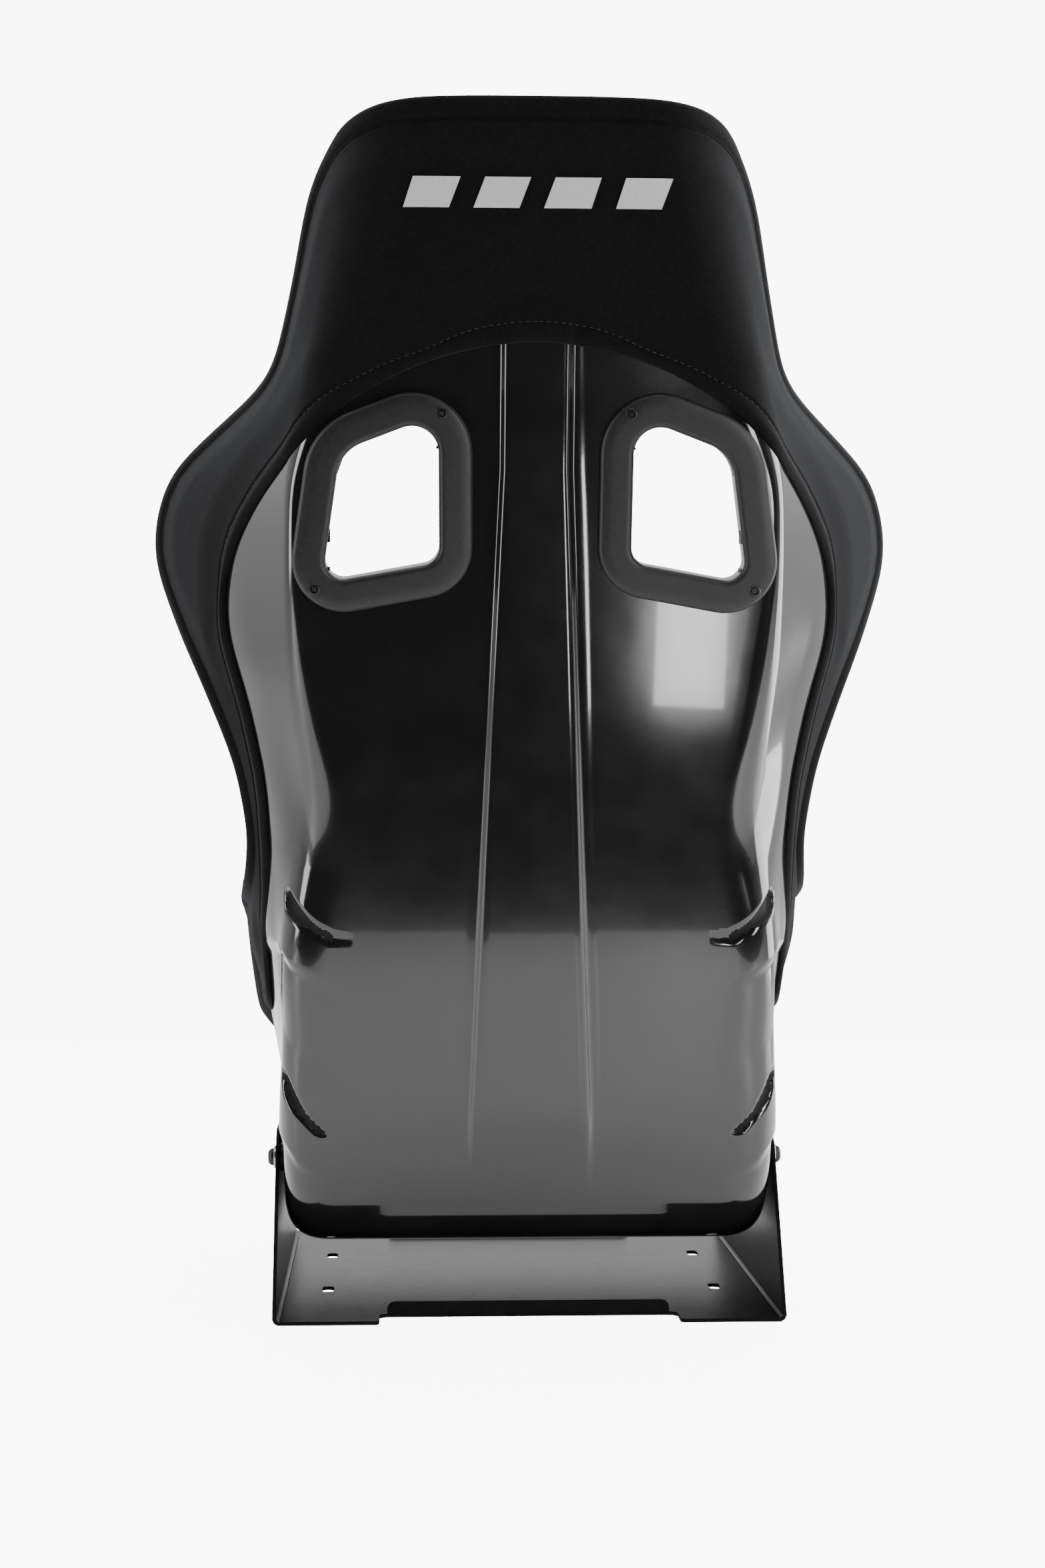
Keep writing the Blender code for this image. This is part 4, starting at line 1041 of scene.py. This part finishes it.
w, h = SURROUND_WIDTH, SURROUND_RISE
rear_profile = (
    [(w, GAP)] + arc_points(w - 0.0042, h * 0.40, 0.0042, -0.15, 1.25) + [(w - 0.010, h), (0.0052, h)]
    + arc_points(0.0042, h - 0.0042, 0.0042, math.pi / 2, math.pi)
    + [(0.0, -REAR_SLEEVE), (OPENING_ROOM, -REAR_SLEEVE), (OPENING_ROOM, GAP)]
)
fw = FRONT_WIDTH
fl, fh_ = -SHELL_SHEET - GAP, -SHELL_SHEET - SURROUND_FRONT
front_profile = (
    [(OPENING_ROOM + GAP, fl), (fw, fl), (fw, mix(fl, fh_, 0.6))]
    + arc_points(fw - 0.005, fh_ + 0.005, 0.005, 0, -math.pi / 2)
    + arc_points(0.005, fh_ + 0.005, 0.005, -math.pi / 2, -math.pi)
    + [(0.0, -REAR_SLEEVE - GAP), (OPENING_ROOM + GAP, -REAR_SLEEVE - GAP)]
)
for label, sign in (("left", -1), ("right", 1)):
    place = panel_frame(sign)
    swept("surround_rear_" + label, rear_profile, place, "harness_surround_rear_" + label)
    swept("surround_front_" + label, front_profile, place, "harness_surround_front_" + label)
    for spot_name, (u, v) in zip(("upper", "lower"), SURROUND_SCREWS):
        spot = place @ Matrix.Translation((u, v, 0))
        head = 0.0042
        lathe(
            "screw_" + spot_name + "_" + label,
            [
                (0, h - 0.0016), (0.0021, h - 0.0016), (0.0023, h + 0.0002), (0.0030, h + 0.0011),
                (0.0040, h + 0.0009), (head + 0.0004, h + 0.0002), (head + 0.0004, h - 0.0026),
                (0.002, h - 0.0030), (0.002, -0.003), (0, -0.003),
            ],
            spot, "surround_screw_" + spot_name + "_" + label, BLACK_STEEL,
        )
        hexagon_wall("socket_" + spot_name + "_" + label, 0.0022, h + 0.0003, spot)

# ---- base bracket ----------------------------------------------------------------------
BASE_HALF = HIP_HALF + SPACER_THICK + 2 * GAP + BASE_SHEET


def bracket_sheet(name, outline, holes, turn):
    """A flat sheet of the bracket with holes and soft edges, from a filled outline."""
    bevel = 0.0006
    curve = bpy.data.curves.new(name, "CURVE")
    curve.dimensions = "2D"
    curve.fill_mode = "BOTH"
    curve.extrude = BASE_SHEET / 2 - bevel
    curve.bevel_depth = bevel
    curve.bevel_resolution = 2
    curve.offset = -bevel
    for loop in [rounded(outline, 0.0, 6)] + holes:
        add_line(curve, [(u, v, 0) for u, v in loop], True)
    mesh = curve_mesh(name, curve)
    mesh.transform(turn)
    put(name, mesh, "base_bracket", POWDER, angle=40)


def slot_loop(x, y, half, run):
    loop = []
    steps = 8
    for a in np.linspace(0, math.pi, steps):
        loop.append((x + half * math.cos(a), y + run - half + half * math.sin(a)))
    for a in np.linspace(math.pi, 2 * math.pi, steps):
        loop.append((x + half * math.cos(a), y - run + half + half * math.sin(a)))
    return loop


half_len = BASE_LENGTH / 2
notch_half = BASE_HALF - FOOT_WIDTH
edge_x = BASE_HALF - BASE_BEND
foot = [
    (-edge_x, -half_len, 0), (-notch_half, -half_len, 0.004), (-notch_half, FOOT_REACH - half_len, 0.008)
]
rear_edge = foot + [(-x, y, r) for x, y, r in reversed(foot)]
plate = rear_edge + [(-x, -y, r) for x, y, r in rear_edge]
slots_at = []
for s in (-1, 1):
    slots_at += [
        slot_loop(s * (BASE_HALF - 0.040), y - half_len, 0.0045, 0.012)
        for y in (0.145, BASE_LENGTH - 0.145)
    ]
bracket_sheet("base_plate", plate, slots_at, Matrix.Translation((0, 0, BASE_SHEET / 2)))
front_end = [
    (half_len, BASE_BEND, 0),
    (half_len - 0.003, BASE_BEND + 0.004, 0),
    (half_len - FLANGE_SLOPE + 0.010, FLANGE_TOP - 0.012, 0.012),
    (half_len - FLANGE_SLOPE - 0.006, FLANGE_TOP, 0.010),
]
flange = [(-half_len, BASE_BEND, 0)] + front_end + [(-y, z, r) for y, z, r in reversed(front_end[1:])]
bolt_places = (BOLT_INSET, BASE_LENGTH - BOLT_INSET)
bores = [round_loop(y - half_len, BOLT_HEIGHT, BOLT_SIZE / 2 + GAP, 28) for y in bolt_places]
for s, label in ((-1, "left"), (1, "right")):
    turn = Matrix(((0, 0, s, s * (BASE_HALF - BASE_SHEET / 2)), (1, 0, 0, 0), (0, 1, 0, 0), (0, 0, 0, 1)))
    bracket_sheet("base_flange_" + label, flange, bores, turn)
    fold = []
    for a in np.linspace(0, math.pi / 2, 10):
        fold.append((BASE_HALF - BASE_BEND + BASE_BEND * math.sin(a), BASE_BEND - BASE_BEND * math.cos(a)))
    small = BASE_BEND - BASE_SHEET
    for a in np.linspace(math.pi / 2, 0, 10):
        fold.append((BASE_HALF - BASE_BEND + small * math.sin(a), BASE_BEND - small * math.cos(a)))
    points = [(s * u, y, v) for y in (-half_len + 0.0002, half_len - 0.0002) for u, v in fold]
    n = len(fold)
    faces = [tuple(range(n)), tuple(range(n, 2 * n))] + [
        (k, (k + 1) % n, n + (k + 1) % n, n + k) for k in range(n)
    ]
    put(
        "base_fold_" + label, mesh_of("base_fold_" + label, points, faces), "base_bracket",
        POWDER, angle=40,
    )
lip_half = notch_half - 0.006
lip = [
    (-lip_half, 0.0005, 0), (lip_half, 0.0005, 0), (lip_half, LIP_HEIGHT, 0.006),
    (-lip_half, LIP_HEIGHT, 0.006),
]
for y, label in (
    (-half_len + FOOT_REACH + BASE_SHEET / 2, "rear"), (half_len - FOOT_REACH - BASE_SHEET / 2, "front")
):
    turn = Matrix(((1, 0, 0, 0), (0, 0, -1, y), (0, 1, 0, 0), (0, 0, 0, 1)))
    bracket_sheet("base_lip_" + label, lip, [], turn)

# ---- side fasteners --------------------------------------------------------------------
for place_name, y in (("rear", BOLT_INSET), ("front", BASE_LENGTH - BOLT_INSET)):
    for label, s in (("left", -1), ("right", 1)):
        tag = place_name + "_" + label
        spot = Matrix(((0, 0, s, 0), (0, 1, 0, y - half_len), (-s, 0, 0, BOLT_HEIGHT), (0, 0, 0, 1)))
        half = BOLT_SIZE / 2
        bore = half + GAP
        wall = HIP_HALF - SHELL_SHEET
        low = BASE_HALF + GAP
        top = low + 0.0016
        lathe(
            "spacer_" + tag,
            [
                (bore, HIP_HALF + GAP), (half + 0.0066, HIP_HALF + GAP),
                (half + 0.007, HIP_HALF + GAP + 0.0004),
                (half + 0.007, HIP_HALF + SPACER_THICK - 0.0001),
                (half + 0.0066, HIP_HALF + GAP + SPACER_THICK), (bore, HIP_HALF + GAP + SPACER_THICK),
            ],
            spot, "side_spacer_" + tag, MOULDING,
        )
        lathe(
            "bush_" + tag,
            [
                (bore, wall), (half + 0.0076, wall), (half + 0.008, wall + 0.0004),
                (half + 0.008, wall + 0.0016), (half + 0.003, wall + 0.002), (half + 0.003, HIP_HALF),
                (bore, HIP_HALF),
            ],
            spot, "threaded_bush_" + tag, ZINC,
        )
        lathe(
            "washer_" + tag,
            [
                (bore, low), (half + 0.0047, low), (half + 0.005, low + 0.0003),
                (half + 0.005, top - 0.0003), (half + 0.0047, top), (bore, top),
            ],
            spot, "washer_" + tag, ZINC,
        )
        head = half + 0.003
        level = top + GAP
        lathe(
            "bolt_" + tag,
            [
                (0, wall), (half, wall), (half, level), (head - 0.0002, level), (head, level + 0.0003),
                (head, level + 0.0010), (head * 0.94, level + 0.0022), (head * 0.82, level + 0.0034),
                (head * 0.62, level + 0.0043), (head * 0.50, level + 0.0044),
                (half * 0.62, level + 0.0042), (half * 0.60, level + 0.0018), (0, level + 0.0018),
            ],
            spot, "side_bolt_" + tag, BLACK_STEEL,
        )
        hexagon_wall("bolt_socket_" + tag, half * 0.63, level + 0.0042, spot)

# ---- a generic pale flash on the head panel ---------------------------------------------
for k in range(4):
    low_x, high_x = -0.100 + 0.052 * k, -0.100 + 0.052 * k + 0.034
    points = []
    for z, shift in ((0.861, 0.008), (0.838, 0.0)):
        for x in np.linspace(low_x, high_x, 12):
            d, a = FORM.find(x + shift, z)
            points.append(FORM.at(d, a))
    edges = np.array(points).reshape(2, 12, 3)
    bar = np.stack([edges[0] * (1 - q) + edges[1] * q for q in np.linspace(0, 1, 6)])
    for place in bar.reshape(-1, 3):
        place[1] = FORM.at(*FORM.find(place[0], place[2]))[1]
    name = "flash_bar_" + str(k)
    bar_low, bar_high = [bar + np.array([0, -1, 0]) * off for off in (0.0060, 0.0088)]
    put(name, blanket(name, bar_low, bar_high), None, PRINT, angle=40)

# ---- floor, light and camera -----------------------------------------------------------
floor_paint = look(
    "floor", (0.86, 0.86, 0.87), 0.55, bumps=(("noise", 90, 0.02, 0.001),), mottle=0.01, scale=6
)
bpy.ops.mesh.primitive_plane_add(size=1, location=(0, 0.595, -0.0005))
floor = bpy.context.object
floor.scale = (8, 3.41, 1)
floor.name = "floor"
floor.data.materials.append(floor_paint)
fn, fl = floor_paint.node_tree.nodes, floor_paint.node_tree.links
floor_shader = fn["Principled BSDF"]
floor_shader.inputs["Emission Color"].default_value = (1, 1, 1, 1)
floor_seen = fn.new("ShaderNodeLightPath")
floor_glow = fn.new("ShaderNodeMapRange")
floor_glow.inputs["To Min"].default_value, floor_glow.inputs["To Max"].default_value = 0.35, 8.0
fl.new(floor_seen.outputs["Is Camera Ray"], floor_glow.inputs["Value"])
fl.new(floor_glow.outputs["Result"], floor_shader.inputs["Emission Strength"])

world = bpy.data.worlds.new("studio")
bpy.context.scene.world = world
world.use_nodes = True
wn, wl = world.node_tree.nodes, world.node_tree.links
wn.clear()
out = wn.new("ShaderNodeOutputWorld")
path = wn.new("ShaderNodeLightPath")
pale = wn.new("ShaderNodeBackground")
pale.inputs["Color"].default_value = (1.0, 1.0, 1.0, 1)
pale.inputs["Strength"].default_value = 9.0
room = wn.new("ShaderNodeBackground")
coord = wn.new("ShaderNodeTexCoord")
split = wn.new("ShaderNodeSeparateXYZ")
wl.new(coord.outputs["Generated"], split.inputs["Vector"])
ramp = wn.new("ShaderNodeValToRGB")
ramp.color_ramp.elements[0].position, ramp.color_ramp.elements[0].color = 0.24, (0.020, 0.020, 0.022, 1)
ramp.color_ramp.elements[1].position, ramp.color_ramp.elements[1].color = 0.56, (1.0, 1.0, 1.0, 1)
span = wn.new("ShaderNodeMapRange")
span.inputs["From Min"].default_value, span.inputs["From Max"].default_value = -1.0, 1.0
wl.new(split.outputs["Y"], span.inputs["Value"])
wl.new(span.outputs["Result"], ramp.inputs["Fac"])
wl.new(ramp.outputs["Color"], room.inputs["Color"])
room.inputs["Strength"].default_value = 1.0
either = wn.new("ShaderNodeMixShader")
wl.new(path.outputs["Is Camera Ray"], either.inputs["Fac"])
wl.new(room.outputs["Background"], either.inputs[1])
wl.new(pale.outputs["Background"], either.inputs[2])
wl.new(either.outputs["Shader"], out.inputs["Surface"])


def softbox(name, place, aim, size, size_y, power):
    data = bpy.data.lights.new(name, "AREA")
    data.shape = "RECTANGLE"
    data.size, data.size_y = size, size_y
    data.energy = power
    made = bpy.data.objects.new(name, data)
    made.location = place
    made.rotation_euler = (Vector(aim) - Vector(place)).to_track_quat("-Z", "Y").to_euler()
    bpy.context.scene.collection.objects.link(made)
    made.visible_camera = False


softbox("strip_right", (1.15, -1.55, 0.85), (0.05, -0.2, 0.45), 0.35, 1.5, 22)
softbox("low_strip", (0.255, -1.48, 0.185), (0.115, -0.28, 0.50), 0.085, 0.30, 1.5)
softbox("strip_left", (-2.0, -0.9, 0.9), (0, -0.1, 0.5), 0.5, 1.6, 22)
softbox("side_right", (2.1, 0.3, 0.8), (0, 0, 0.4), 1.2, 1.6, 45)
softbox("top", (0.0, -0.2, 2.6), (0, 0, 0.4), 1.8, 1.6, 55)
softbox("far", (0.0, 2.4, 1.4), (0, 0, 0.5), 2.4, 1.8, 45)

camera_data = bpy.data.cameras.new("camera")
camera = bpy.data.objects.new("camera", camera_data)
bpy.context.scene.collection.objects.link(camera)
camera.location = (-0.1065, -2.38, 0.404)
camera.rotation_euler = (math.radians(90.39), 0, math.radians(-2.67))
camera_data.sensor_fit = "AUTO"
camera_data.sensor_width = 36
camera_data.lens = 63.67
bpy.context.scene.camera = camera
